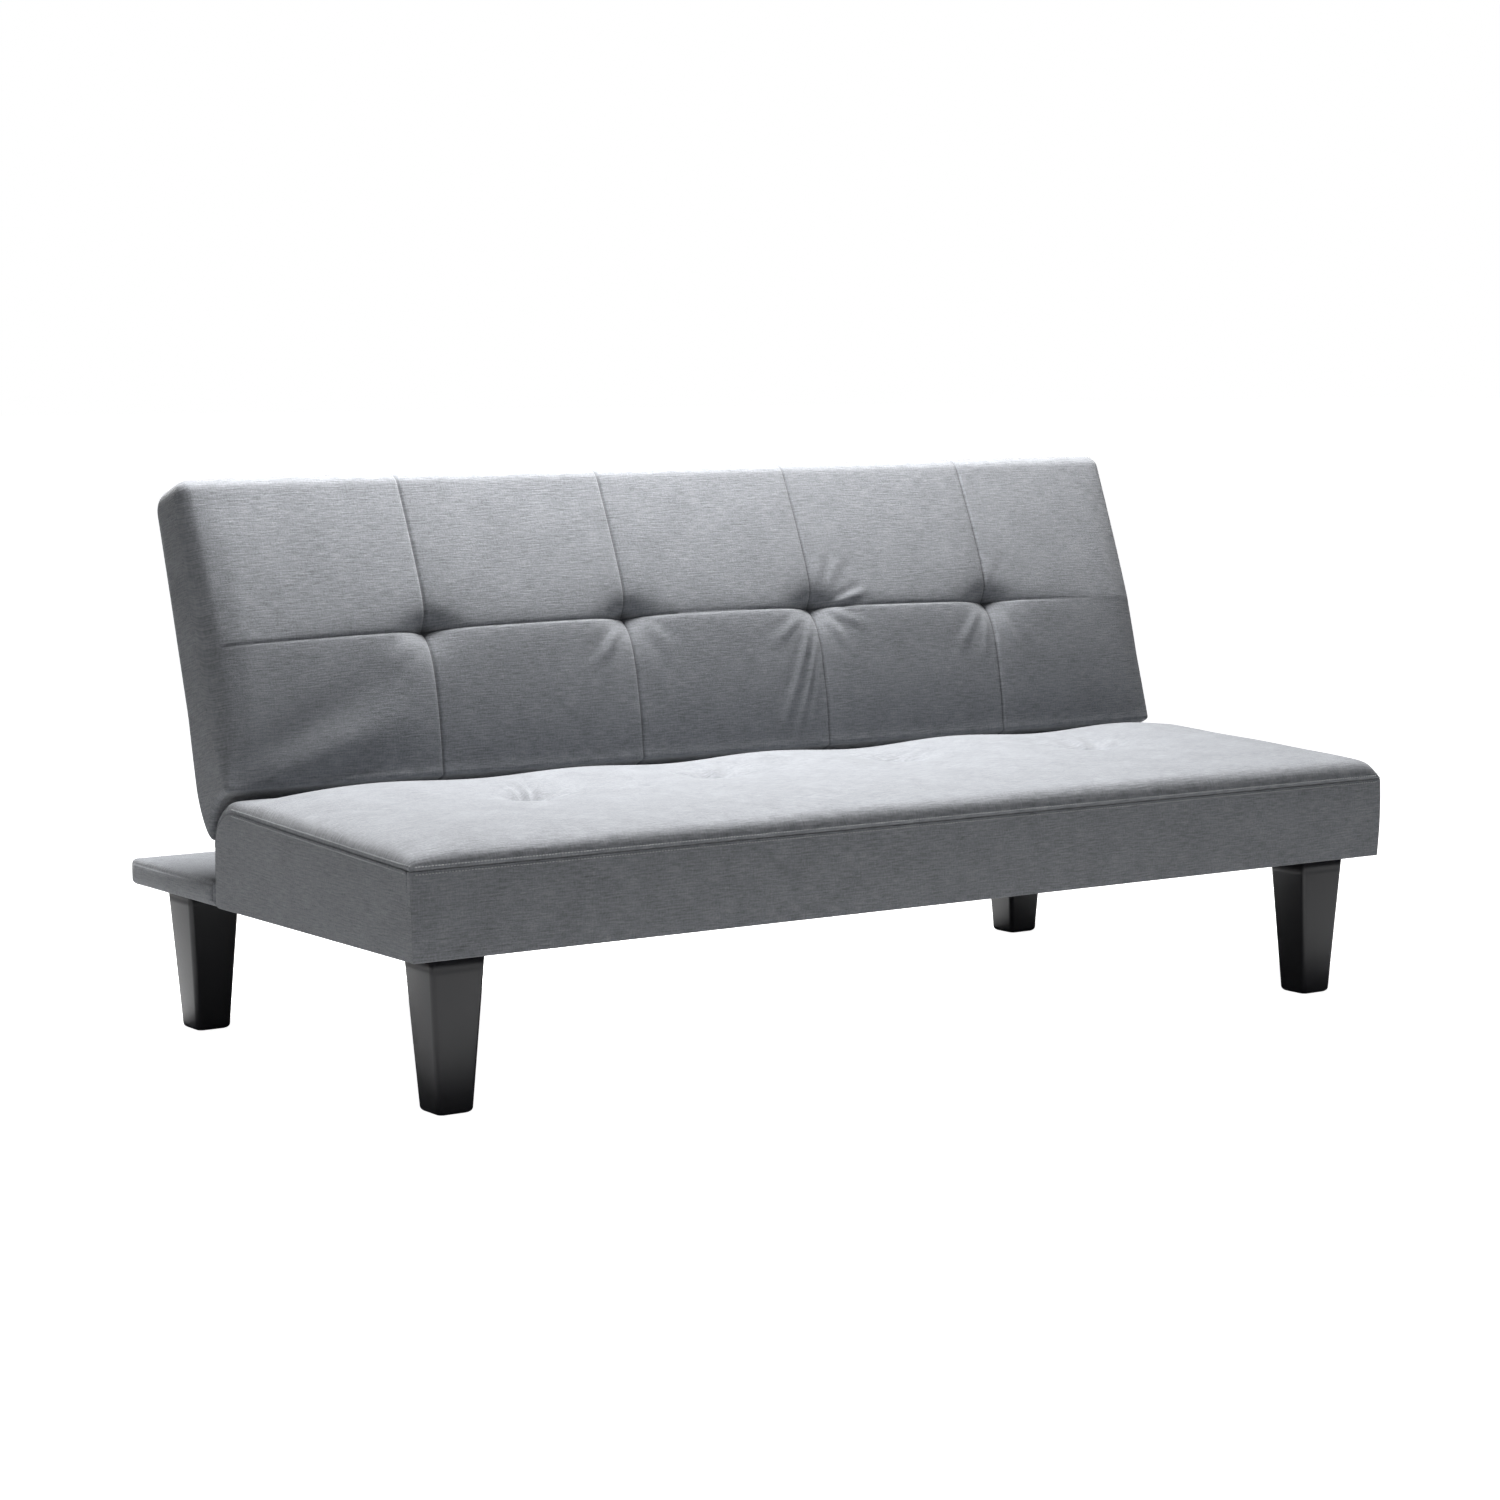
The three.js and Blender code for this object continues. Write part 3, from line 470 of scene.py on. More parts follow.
def cut(piece, boxes):
    """Cuts openings through a piece, each given by its lowest and highest corner."""
    form = bmesh.new()
    for low, high in boxes:
        middle = [(a + b) / 2 for a, b in zip(low, high)]
        size = Matrix.Diagonal([b - a for a, b in zip(low, high)] + [1])
        bmesh.ops.create_cube(form, size=1, matrix=Matrix.Translation(middle) @ size)
    mesh = bpy.data.meshes.new("openings")
    form.to_mesh(mesh)
    form.free()
    cutter = shown("openings", mesh)
    modifier = piece.modifiers.new("openings", "BOOLEAN")
    modifier.operation = "DIFFERENCE"
    modifier.solver = "EXACT"
    modifier.object = cutter
    apply(piece)
    bpy.data.objects.remove(cutter)
    bpy.data.meshes.remove(mesh)


def settle(piece, held, pressure, spare, reach, frames=20):
    """Swells a piece's cloth between the places where it is held, with some cloth to spare."""
    before = places(piece)
    group = piece.vertex_groups.new(name="held")
    for weight in np.unique(held[held > 0]):
        group.add([int(i) for i in np.flatnonzero(held == weight)], float(weight), "REPLACE")
    cloth = piece.modifiers.new("cloth", "CLOTH")
    for key, value in CLOTH.items():
        setattr(cloth.settings, key, value)
    cloth.settings.uniform_pressure_force = pressure
    cloth.settings.shrink_min = -spare
    cloth.settings.effector_weights.gravity = 0
    cloth.point_cache.frame_start = 1
    cloth.point_cache.frame_end = frames
    for number in range(1, frames + 1):
        bpy.context.scene.frame_set(number)
    shift = places(piece.evaluated_get(bpy.context.evaluated_depsgraph_get())) - before
    length = np.linalg.norm(shift, axis=1, keepdims=True)
    piece.modifiers.remove(cloth)
    bpy.context.scene.frame_set(1)
    move_to(piece, before + shift * np.minimum(1, reach / np.maximum(length, 1e-9)))


def finish_piece(piece, body, slot, material, *nodes):
    """Gives a piece its material and body, and the CAD nodes that it stands for; its slot is not used."""
    piece.data.materials.clear()
    piece.data.materials.append(material)
    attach(piece, body)
    if nodes:
        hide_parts(*nodes)
    return piece


# The back

def back_outline():
    """Four runs round the back: up the front, over the top, down the rear and under the foot."""
    over_cells = 14
    corner = BACK_FOOT - 0.004
    foot_arc = arc((BACK_FRONT + FOOT_ROUND, corner), FOOT_ROUND, 225, 180, 3)
    head_arc = arc((FACE_INSET, BACK_TOP - FRONT_ROUND), FRONT_ROUND, 180, 112.5, 5)[1:]
    below = lines([corner, LEVEL_SEAM - SEAM_WIDTH, LEVEL_SEAM], BACK_STEP)[1:]
    above = lines([LEVEL_SEAM, LEVEL_SEAM + SEAM_WIDTH, BACK_TOP - FRONT_ROUND], BACK_STEP)[1:]
    heights = np.concatenate([below, above])
    face = np.stack([np.full(len(heights), BACK_FRONT), heights], 1)
    front = np.concatenate([foot_arc, face, head_arc])

    top_arc = arc((PAD_REAR - TOP_ROUND, BACK_TOP - TOP_ROUND), TOP_ROUND, 90, 0, 12)
    top = even(np.concatenate([head_arc[-1:], [(FACE_INSET, BACK_TOP)], top_arc]), over_cells)

    tip = SWEEP_DEPTH + SWEEP_RADIUS - 0.0012
    shoulder = BACK_FOOT + 0.014
    turns = np.radians(np.linspace(86, 6, 14))
    heel = np.stack([tip + (PAD_REAR - tip) * np.sin(turns),
                     shoulder - (shoulder - FOOT_TIP) * np.cos(turns)], 1)
    rear = even([top[-1], (PAD_REAR, shoulder + 0.004), *heel], len(front) - 1)

    clear, sweep_start = 0.0008, -0.064
    under = [(depth, lower_edge(depth) + clear) for depth in np.linspace(tip, sweep_start, 16)]
    base = even([rear[-1], *under, front[0]], over_cells)
    return [front, top, rear, base]


def to_column(x):
    """Distance across to the nearest column of tufts."""
    return np.min(np.abs(x[:, None] - TUFTS), 1)


def to_tuft(x, up, wide=1.0, tall=1.0):
    """Distance to the nearest tuft of the back, in units of a width and a height."""
    return np.min(np.hypot((x[:, None] - TUFTS) / wide, up[:, None] / tall), 1)


def pillows(x, height):
    """How far the back's face stands out in front of its edges."""
    swell, upper_reach, lower_reach, end_reach, even_share = 0.028, 0.248, 0.200, 0.060, 0.45
    valley_depth, valley_reach = 0.0025, 0.012
    furrow_depth, furrow_reach = 0.003, 0.014
    pull_depth, pull_size = 0.004, (0.050, 0.038)
    side = HALF - np.abs(x)
    up = height - level_seam(x)
    upper = height > level_seam(x)
    end = np.where(upper, BACK_TOP - height, height - BACK_FOOT)
    share = np.clip(end / np.where(upper, upper_reach, lower_reach), 0, 1)
    rounded = 1 - (1 - share) ** np.where(upper, 2, 3)
    crown = (even_share * share + (1 - even_share) * rounded) * quarter(side, end_reach)
    valley = valley_depth * np.exp(-np.abs(up) / valley_reach) * smooth(side, 0.0, 0.25)
    furrow = furrow_depth * np.exp(-to_column(x) / furrow_reach)
    pulls = mound(x[:, None] - TUFTS, up[:, None], *pull_size).sum(1)
    return swell * crown - valley * crown - furrow * crown - pull_depth * pulls


def back_pad():
    """Front, top and sides of the back, sewn in two rows of five and tied down at four tufts."""
    sides = back_outline()
    depth, height = np.concatenate([side[:-1] for side in sides]).T
    foot_rounding, rear_rounding = 0.009, 0.003
    rounding = (np.interp(height, [0.10, 0.20], [foot_rounding, FRONT_ROUND])
                + rear_rounding * smooth(height, 0.16, 0.44)
                * np.interp(depth, [FACE_INSET, PAD_REAR], [0, 1]))
    first_line, seam_end = 0.042, -0.010
    end = HALF - first_line
    columns = [tuft + side for tuft in TUFTS for side in (-SEAM_WIDTH, 0, SEAM_WIDTH)]
    across = lines([-end, *columns, end], BACK_STEP)
    piece = loaf("back_pad", sides, across, HALF, rounding, on_back, puff=0.003)

    x, depth, height = back_place(places(piece))
    front_share = smooth(-depth, -FACE_INSET - 0.004, -FACE_INSET + 0.012)
    seam = level_seam(x)
    level = (np.abs(depth - BACK_FRONT) < ON_LINE) & (np.abs(height - LEVEL_SEAM) < ON_LINE)
    upright = (to_column(x) < ON_LINE) & (depth < seam_end)
    stretch = np.where(height > LEVEL_SEAM, (BACK_TOP - height) / (BACK_TOP - LEVEL_SEAM),
                       (height - BACK_FOOT) / (LEVEL_SEAM - BACK_FOOT))
    lift = (seam - LEVEL_SEAM) * np.clip(stretch, 0, 1) * front_share
    most, droop_width = 0.003, 0.15
    droop = most * smooth(-x, HALF - droop_width, HALF) * smooth(height, 0.44, BACK_TOP)
    height = height + lift - droop
    depth = depth - front_share * pillows(x, height)
    move_to(piece, on_back(x, depth, height))

    # Seam marks: how deep each seam is sewn in, and how dark the painted shade along it is in the cloth's colour
    upright_mark, level_mark = 0.9, 0.62 * smooth(HALF - x, -0.02, 0.34)
    marks = np.where(upright, upright_mark, np.where(level, level_mark, 0))
    # The marks are kept as an attribute that the cloth material reads to paint shade into the seams
    seam_shade_mark = piece.data.attributes.new("seam", "FLOAT", "POINT")
    seam_shade_mark.data.foreach_set("value", marks.astype(np.float32))

    tied_width, level_hold, upright_hold = 0.010, 0.5, 0.3
    tied = (to_tuft(x, height - seam) < tied_width) & (front_share > 0.9)
    firm = tied | (front_share < 0.6) | (height < BACK_FOOT + 0.016)
    held = np.where(level, level_hold, np.where(upright, upright_hold, 0.0))
    held = np.where(firm, 1.0, held)
    settle(piece, held, pressure=2.5, spare=0.010, reach=0.007)
    subdivide(piece)
    back_detail(piece)

    def under_panel(points):
        _, depth, height = back_place(points)
        return (depth > PAD_REAR - 0.0004) & (height > BACK_FOOT + 0.020)

    merge_flat(piece, under_panel)
    return piece


def back_detail(piece):
    """Deepens the tufts, sews in the seams, paints shade at the tufts and lays the pull wrinkles of the back."""
    # A pit's reach and power, across and up, above the level seam and below it
    pit_above, pit_below = ((0.032, 1.5), (0.016, 1.5)), ((0.027, 1.3), (0.018, 1.1))
    pit_depth, lip, lip_reach = 0.018, 0.0004, 0.008
    # Painted shade: a dark spot painted into the cloth's colour just above each tuft; how dark it is, how far up,
    # and how wide and tall
    tuft_shade, shade_up, shade_size = 0.85, 0.004, (0.018, 0.009)
    to_rear = np.array([0, math.cos(RECLINE), -math.sin(RECLINE)])
    points, outward = places(piece), normals(piece)
    x, _, height = back_place(points)
    up = height - level_seam(x)
    rise = np.zeros(len(x))
    for tuft in TUFTS:
        away = np.abs(x - tuft)
        above, below = [peak(away, *across) * peak(np.abs(up), *upward)
                        for across, upward in (pit_above, pit_below)]
        rise -= pit_depth * np.where(up > 0, above, below)
    edge = np.exp(-np.abs(up) / lip_reach) * smooth(HALF - np.abs(x), 0.03, 0.30)
    rise += np.where(up > 0, -lip, lip) * edge
    for tuft, start, end, wide, height_of_fold in BACK_PULLS:
        rise += fold(x - TUFTS[tuft], up, start, end, wide, height_of_fold)
    rise += fold(x, height, *CORNER_FOLD)
    rise *= smooth(-outward @ to_rear, 0.15, 0.6) * (height > BACK_FOOT)

    # Painted shade: the tufts' dark spots join the seam marks that darken the cloth's colour; the sewn groove
    # still follows the seam marks alone
    seam_shade_mark = piece.data.attributes["seam"]
    marks = read_off(seam_shade_mark.data, "value", 1)[:, 0]
    shaded = tuft_shade * np.exp(-to_tuft(x, up - shade_up, *shade_size) ** 2)
    seam_shade_mark.data.foreach_set("value", np.maximum(marks, shaded).astype(np.float32))
    sewn = -SEAM_DEPTH * np.clip(marks, 0, 1) ** 1.5
    move_to(piece, points + (rise[:, None] * -to_rear + sewn[:, None] * outward))


def back_panel():
    """Flat panel sewn across the rear of the back, a little puffed in the middle."""
    puff = 0.0006
    depths = (BACK_REAR - 0.0020, BACK_REAR + puff)
    heights = (BACK_FOOT + 0.012, BACK_TOP - TOP_ROUND - 0.004)
    piece = slab("back_rear_panel", depths, heights, HALF - 0.030, on_back, 0.0012, PANEL_STEP)
    x, depth, height = back_place(places(piece))
    middle = (BACK_FOOT + BACK_TOP - TOP_ROUND) / 2
    reach = np.cos(np.pi * x / (2 * HALF)) * np.cos(np.pi * (height - middle) / 0.46)
    depth = depth + np.where(depth > BACK_REAR, puff, 0) * np.clip(reach, 0, 1)
    move_to(piece, on_back(x, depth, height))
    return piece


# The seat and the shelf

def seam_line(run):
    """Place of the seat's side seam at a run back from the front edge."""
    turn = np.clip((run - FLAT_RUN) / SEAT_ROUND, 0, math.pi / 2)
    y = np.where(run <= FLAT_RUN, FRONT + run, ROUND_Y + SEAT_ROUND * np.sin(turn))
    z = np.where(run <= FLAT_RUN, SEAM_FRONT + (SEAM_REAR - SEAM_FRONT) * run / FLAT_RUN,
                 ROUND_Z + SEAT_ROUND * np.cos(turn))
    return y, z, turn


def end_bulge(share):
    """How far the ends of the seat swell outward, at a share of the height of the side panels."""
    return END_SWELL * np.sin(np.pi / 2 * np.clip(share, 0, 1))


def seat_lift(x, run, turn):
    """Height of the seat's cloth over its seam line."""
    rim_low, rim_growth, rim_reach, rim_end, rim_front = 0.012, 0.012, 0.03, 1.4, 1.25
    crown_rise, crown_reach, rear_drop, spare = 0.012, 0.045, 0.009, 0.02
    wave_depth, dip_depth, dip_size = 0.0028, 0.007, (0.085, 0.070)
    pit_depth, pit_size = 0.009, (0.024, 0.020)
    side = HALF - np.abs(x)
    rim = rim_low + rim_growth * smooth(x, -HALF, 0.25)
    lift = rim * quarter(side, rim_end * rim) * quarter(run, rim_front * rim) * np.cos(turn)
    fall = smooth(run, FLAT_RUN - 0.075, FLAT_RUN + 0.008)
    crown = (crown_rise * (1 - fall) - rear_drop * fall) * np.cos(turn)
    inside = rising(side, crown_reach) * rising(run, crown_reach)
    over_rim = rising(side, rim_reach) * rising(run, rim_reach)
    lift = lift + (SEAT_EDGE - rim) * over_rim * np.cos(turn)
    wave = -wave_depth * np.cos(2 * np.pi * (x - TUFTS[0]) / (TUFTS[1] - TUFTS[0]))
    wave = wave * smooth(run, TUFT_RUN - 0.10, TUFT_RUN + 0.04) * smooth(FLAT_RUN - run, 0.0, 0.03)
    highest = SEAT_EDGE * np.cos(turn) + np.minimum(crown, 0) + spare * (1 - fall)
    lift = np.minimum(lift + (crown + wave) * inside, highest)
    for tuft, forward in zip(TUFTS, SEAT_TUFT_SHIFTS):
        from_tuft = run - TUFT_RUN - forward
        dip = mound(x - tuft, from_tuft, *dip_size)
        pit = mound(x - tuft, from_tuft, *pit_size)
        lift = lift - dip_depth * dip - pit_depth * pit
    return lift


def seat_surface(x, run):
    """Places on the seat's cloth at a width and a run back from the front edge."""
    front_swell, side_swell, end_reach = 0.0035, 0.0055, 0.040
    y, z, turn = seam_line(run)
    side = HALF - np.abs(x)
    lift = seat_lift(x, run, turn)
    bulge = front_swell * arch(run, SEAT_EDGE) * quarter(side, SEAT_EDGE)
    swell = side_swell * arch(side, SEAT_EDGE) * quarter(run, SEAT_EDGE) * np.cos(turn)
    near_end = np.exp(-side / end_reach) * np.cos(turn)
    out = end_bulge(1) * near_end * smooth(FLAT_RUN - run, 0.0, 0.2)
    return np.stack([x + np.sign(x) * (swell + out), y + lift * np.sin(turn) - bulge,
                     z + lift * np.cos(turn)], -1)


def seat_mesh(x, run):
    """The seat's cloth as a mesh, with a hem that turns in under its rim and down to the deck."""
    top = seat_surface(x, run)
    nx, nr = x.shape
    cloth = np.stack([x, run], -1).reshape(-1, 2)
    faces, corners = [], []
    for i in range(nx - 1):
        for j in range(nr - 1):
            around = (i * nr + j, (i + 1) * nr + j, (i + 1) * nr + j + 1, i * nr + j + 1)
            faces.append(around)
            corners += [tuple(cloth[k]) for k in around]
    rim = ([(i, 0) for i in range(nx - 1)] + [(nx - 1, j) for j in range(nr - 1)]
           + [(i, nr - 1) for i in range(nx - 1, 0, -1)] + [(0, j) for j in range(nr - 1, 0, -1)])
    turned, low, turn_under = [], [], 0.004
    for i, j in rim:
        px, py, pz = top[i, j]
        px = np.clip(px, -HALF + PANEL, HALF - PANEL)
        py = np.clip(py, FRONT + PANEL, SEAT_REAR - PANEL)
        turned.append((px, py, max(pz - turn_under, DECK_TOP)))
        low.append((px, py, DECK_TOP))
    start, count = nx * nr, len(rim)
    for n in range(count):
        m = (n + 1) % count
        here, there = rim[n][0] * nr + rim[n][1], rim[m][0] * nr + rim[m][1]
        faces.append((here, there, start + m, start + n))
        faces.append((start + n, start + m, start + count + m, start + count + n))
        corners += [(0, 0), (0.01, 0), (0.01, 0.01), (0, 0.01)] * 2
    points = np.concatenate([top.reshape(-1, 3), turned, low])
    return new_piece("seat_pad", points, faces, corners)


def seat_pad():
    """Top of the seat: crowned, rounded over at its edges and tied down at four tufts."""
    ends = (SEAT_EDGE * (1 - np.cos(np.radians(np.linspace(0, 90, 9)))))[:-1]
    across = lines([-HALF + SEAT_EDGE, *TUFTS, HALF - SEAT_EDGE], SEAT_STEP)
    back = lines([SEAT_EDGE, TUFT_RUN, FLAT_RUN, FLAT_RUN + SEAT_ROUND * math.pi / 2], SEAT_STEP)
    x, run = np.meshgrid(np.concatenate([-HALF + ends, across, (HALF - ends)[::-1]]),
                         np.concatenate([ends, back]), indexing="ij")
    piece = seat_mesh(x, run)
    sewn_width, tied_width, rear_width = 0.008, 0.009, 0.05
    rim_gap = np.minimum(HALF - np.abs(x), np.minimum(run, run.max() - run))
    to_rear = run[..., None] - TUFT_RUN - SEAT_TUFT_SHIFTS
    tied = np.min(np.hypot(x[..., None] - TUFTS, to_rear), -1) < tied_width
    firm = (rim_gap < sewn_width) | tied | (run > FLAT_RUN - rear_width)
    hem = np.ones(len(piece.data.vertices) - x.size)
    held = np.concatenate([np.where(firm, 1.0, 0.0).ravel(), hem])
    settle(piece, held, pressure=3, spare=0.008, reach=0.012)
    subdivide(piece)
    seat_detail(piece)
    close_under(piece)
    return piece


def seat_detail(piece):
    """Dimples and pull wrinkles of the seat's tufts, and a soft unevenness between them."""
    points = places(piece)
    x, run = points[:, 0], points[:, 1] - SEAT_TUFT_Y
    rise = np.zeros(len(x))
    for tuft, depth, forward in zip(TUFTS, SEAT_TUFT_DEPTHS, SEAT_TUFT_SHIFTS):
        away = np.hypot(x - tuft, (run - forward) * 1.2)
        rise -= depth * peak(away, 0.030, 1.5)
    for tuft, start, end, wide, height_of_fold in SEAT_PULLS:
        rise += fold(x - TUFTS[tuft], run, start, end, wide, height_of_fold)
    uneven = 0.0012
    over_width = np.sin(x * 9.1 + 1.3 * np.sin(run * 14))
    rise += uneven * over_width * np.cos(run * 11 + 2 * np.sin(x * 5.3))
    on_top = smooth(normals(piece)[:, 2], 0.5, 0.9) * (points[:, 2] > SEAM_FRONT)
    points[:, 2] += rise * on_top
    move_to(piece, points)


def panel_share(points):
    """Share of the height from the underside to the front seam."""
    return (points[:, 2] - UNDERSIDE) / (SEAM_FRONT - UNDERSIDE)


def seat_side(side):
    """Side panel of the seat, from the underside up to its seam."""
    long_cells, upright_cells = 46, 10
    y, z, _ = seam_line(lines([PANEL, FLAT_RUN], PANEL_STEP))
    turns = np.radians(np.linspace(0, 90, 14))
    radius = SEAT_ROUND - 0.001
    rear_round = np.stack([ROUND_Y + radius * np.sin(turns),
                           ROUND_Z + radius * np.cos(turns) - 2 * GAP], 1)
    middle = 7
    line = np.concatenate([np.stack([y, z - 2 * GAP], 1), rear_round[1:middle + 1]])
    top = even(line, long_cells)
    front = even([(FRONT + 0.004, UNDERSIDE), top[0]], upright_cells)
    rear = even(np.concatenate([rear_round[middle:], [(SEAT_REAR, UNDERSIDE)]]), upright_cells)
    base = even([rear[-1], front[0]], long_cells)
    piece = loaf(f"seat_{side}_panel", [front, top, rear, base], [0.0], PANEL / 2, SEWN_EDGE,
                 on_base, puff=0.002, round_steps=3)
    sign = -1 if side == "left" else 1
    points = places(piece)
    ahead = smooth(ROUND_Y - points[:, 1], 0.0, 0.2)
    points[:, 0] += sign * (HALF - PANEL / 2 + end_bulge(panel_share(points)) * ahead)
    move_to(piece, points)
    subdivide(piece)
    return piece


def seat_front():
    """Front panel of the seat; its ends follow the swell of the side panels."""
    puff, end_width = 0.002, 0.12
    depths, heights = (FRONT, FRONT + PANEL), (UNDERSIDE, SEAM_FRONT - 2 * GAP)
    piece = slab("seat_front_panel", depths, heights, HALF, on_base, SEWN_EDGE, 0.010)
    points = places(piece)
    share = panel_share(points)
    near_end = smooth(np.abs(points[:, 0]), HALF - end_width, HALF)
    points[:, 0] += np.sign(points[:, 0]) * end_bulge(share) * near_end
    outer = points[:, 1] < FRONT + PANEL / 2
    points[:, 1] -= puff * np.sin(np.pi * np.clip(share, 0, 1)) * outer
    move_to(piece, points)
    return piece


def shelf_pad():
    """Padded shelf behind the seat; its front edge is square where it meets the seat."""
    edge, squareness = 0.008, 0.8
    front = SEAT_REAR + GAP
    piece = slab("shelf_pad", (front, SHELF_REAR + 0.002), (UNDERSIDE, SHELF_TOP), HALF, on_base,
                 edge, PANEL_STEP, puff=0.003)
    points = places(piece)
    into = np.clip((front + edge - points[:, 1]) / edge, 0, 1)
    drop = edge * (1 - np.sqrt(1 - into ** 2)) * squareness
    from_middle = points[:, 2] - (UNDERSIDE + SHELF_TOP) / 2
    points[:, 2] += np.sign(from_middle) * np.minimum(drop, np.abs(from_middle))
    points[:, 2] = np.clip(points[:, 2], UNDERSIDE, SHELF_TOP)
    move_to(piece, points)
    return piece


def hinge_slots(depth, height):
    """Openings for the two hinges, over a range of depth and height."""
    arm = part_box("right_hinge_fixed_arm")
    inner, outer = arm[0].x - 0.015, arm[1].x + 0.008
    return [((low, depth[0], height[0]), (high, depth[1], height[1]))
            for low, high in ((-outer, -inner), (inner, outer))]


def leg(name, node):
    """Tapered square leg with rounded upright edges and a rounded foot."""
    low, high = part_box(node)
    centre = (low + high) / 2
    wide, deep = (high.x - low.x) / 2, (high.y - low.y) / 2
    rings = []
    for turn in np.radians(np.linspace(0, 90, 7)):
        half = LEG_FOOT - LEG_RIM + LEG_RIM * math.sin(turn)
        rings.append((LEG_RIM * (1 - math.cos(turn)), half, half))
    for share in np.linspace(0, 1, 9)[1:]:
        rings.append((LEG_RIM + (high.z - LEG_RIM) * share, LEG_FOOT + (wide - LEG_FOOT) * share,
                      LEG_FOOT + (deep - LEG_FOOT) * share))
    points = []
    for z, half_x, half_y in rings:
        for sx, sy, start in ((1, 1, 0), (-1, 1, 90), (-1, -1, 180), (1, -1, 270)):
            corner = (centre.x + sx * (half_x - LEG_CORNER), centre.y + sy * (half_y - LEG_CORNER))
            points += [(x, y, z) for x, y in arc(corner, LEG_CORNER, start, start + 90, 6)]
    count = len(points) // len(rings)
    faces = []
    for k in range(0, len(points) - count, count):
        for n in range(count):
            m = (n + 1) % count
            faces.append((k + n, k + m, k + count + m, k + count + n))
    faces.append(tuple(range(count))[::-1])
    faces.append(tuple(range(len(points) - count, len(points))))
    corners = [(points[i][0] - points[i][1], points[i][2]) for face in faces for i in face]
    return new_piece(name, points, faces, corners)


# Materials

def feed(tree, socket, value):
    """Links another node's socket to a socket, or sets a constant on it."""
    if isinstance(value, bpy.types.NodeSocket):
        tree.links.new(value, socket)
    else:
        socket.default_value = value


def add(tree, kind, settings=(), **inputs):
    """Adds a node; each value is a constant or another node's socket, and _ stands for a space."""
    made = tree.nodes.new(kind)
    for key, value in dict(settings).items():
        setattr(made, key, value)
    for key, value in inputs.items():
        feed(tree, made.inputs[key.replace("_", " ")], value)
    return made


def calc(tree, operation, a, b):
    """The result of one sum on two values."""
    made = tree.nodes.new("ShaderNodeMath")
    made.operation = operation
    feed(tree, made.inputs[0], a)
    feed(tree, made.inputs[1], b)
    return made.outputs[0]


def mixed(tree, share, first, second, way="MIX"):
    """A colour from the first at a share of 0 to the second at 1."""
    made = add(tree, "ShaderNodeMix", {"data_type": "RGBA", "blend_type": way}, Factor=share)
    first_colour, second_colour, result = 6, 7, 2
    feed(tree, made.inputs[first_colour], first)
    feed(tree, made.inputs[second_colour], second)
    return made.outputs[result]


def speckle(tree, vector, scale, detail):
    """A noise stretched by its scale along each axis, in waves a metre."""
    placed = add(tree, "ShaderNodeMapping", Vector=vector, Scale=scale).outputs[0]
    noise = add(tree, "ShaderNodeTexNoise", Vector=placed, Scale=1.0, Detail=detail)
    return noise.outputs["Fac"]


def effect(name, given, *results):
    """An empty node group with one vector going in and some numbers coming out."""
    tree = bpy.data.node_groups.new(name, "ShaderNodeTree")
    tree.interface.new_socket(given, in_out="INPUT", socket_type="NodeSocketVector")
    for result in results:
        tree.interface.new_socket(result, in_out="OUTPUT", socket_type="NodeSocketFloat")
    return tree, tree.nodes.new("NodeGroupInput").outputs[given], tree.nodes.new("NodeGroupOutput")


def woven():
    """Threads both ways, with slubs along the width and flecks; the cloth map is in metres."""
    tree, cloth, out = effect("woven", "Cloth", "Shade", "Height")
    slubs = speckle(tree, cloth, (46, 470, 1), 3)
    cross = speckle(tree, cloth, (640, 80, 1), 2)
    flecks = speckle(tree, cloth, (330, 330, 1), 2)
    clouds = speckle(tree, cloth, (16, 22, 1), 3)
    shade = 0.5
    for part, share in ((slubs, 1.05), (cross, 0.5), (flecks, 0.6), (clouds, 0.35)):
        spread = calc(tree, "MULTIPLY", calc(tree, "SUBTRACT", part, 0.5), share)
        shade = calc(tree, "ADD", spread, shade)
    threads = [add(tree, "ShaderNodeTexWave", {"bands_direction": way}, Vector=cloth, Scale=260.0,
                   Distortion=0.4).outputs["Fac"] for way in ("X", "Y")]
    raised = calc(tree, "MULTIPLY", calc(tree, "MAXIMUM", *threads), 0.4)
    feed(tree, out.inputs["Shade"], shade)
    feed(tree, out.inputs["Height"], calc(tree, "ADD", raised, slubs))
    return tree


def grained():
    """Wood grain: long rings and short pores; the first axis runs along the grain."""
    tree, place, out = effect("grained", "Place", "Shade")
    stretched = add(tree, "ShaderNodeMapping", Vector=place, Scale=(0.6, 18, 18)).outputs[0]
    rings = add(tree, "ShaderNodeTexWave", {"bands_direction": "Y"}, Vector=stretched, Scale=2.0,
                Distortion=5.0, Detail=2.0).outputs["Fac"]
    pores = speckle(tree, place, (30, 700, 700), 2)
    wide, fine = calc(tree, "MULTIPLY", rings, 0.6), calc(tree, "MULTIPLY", pores, 0.5)
    feed(tree, out.inputs["Shade"], calc(tree, "ADD", wide, fine))
    return tree


def new_material(name, **constants):
    """A material, its nodes and its shader, with constants set on the shader's own sockets."""
    material = bpy.data.materials.new(name)
    material.use_nodes = True
    shader = material.node_tree.nodes["Principled BSDF"]
    for key, value in constants.items():
        shader.inputs[key.replace("_", " ")].default_value = value
    return material, material.node_tree, shader


def roughen(tree, shader, strength, distance, height):
    """Lets a pattern of heights catch the light as fine relief."""
    bump = add(tree, "ShaderNodeBump", Strength=strength, Distance=distance, Height=height)
    feed(tree, shader.inputs["Normal"], bump.outputs["Normal"])


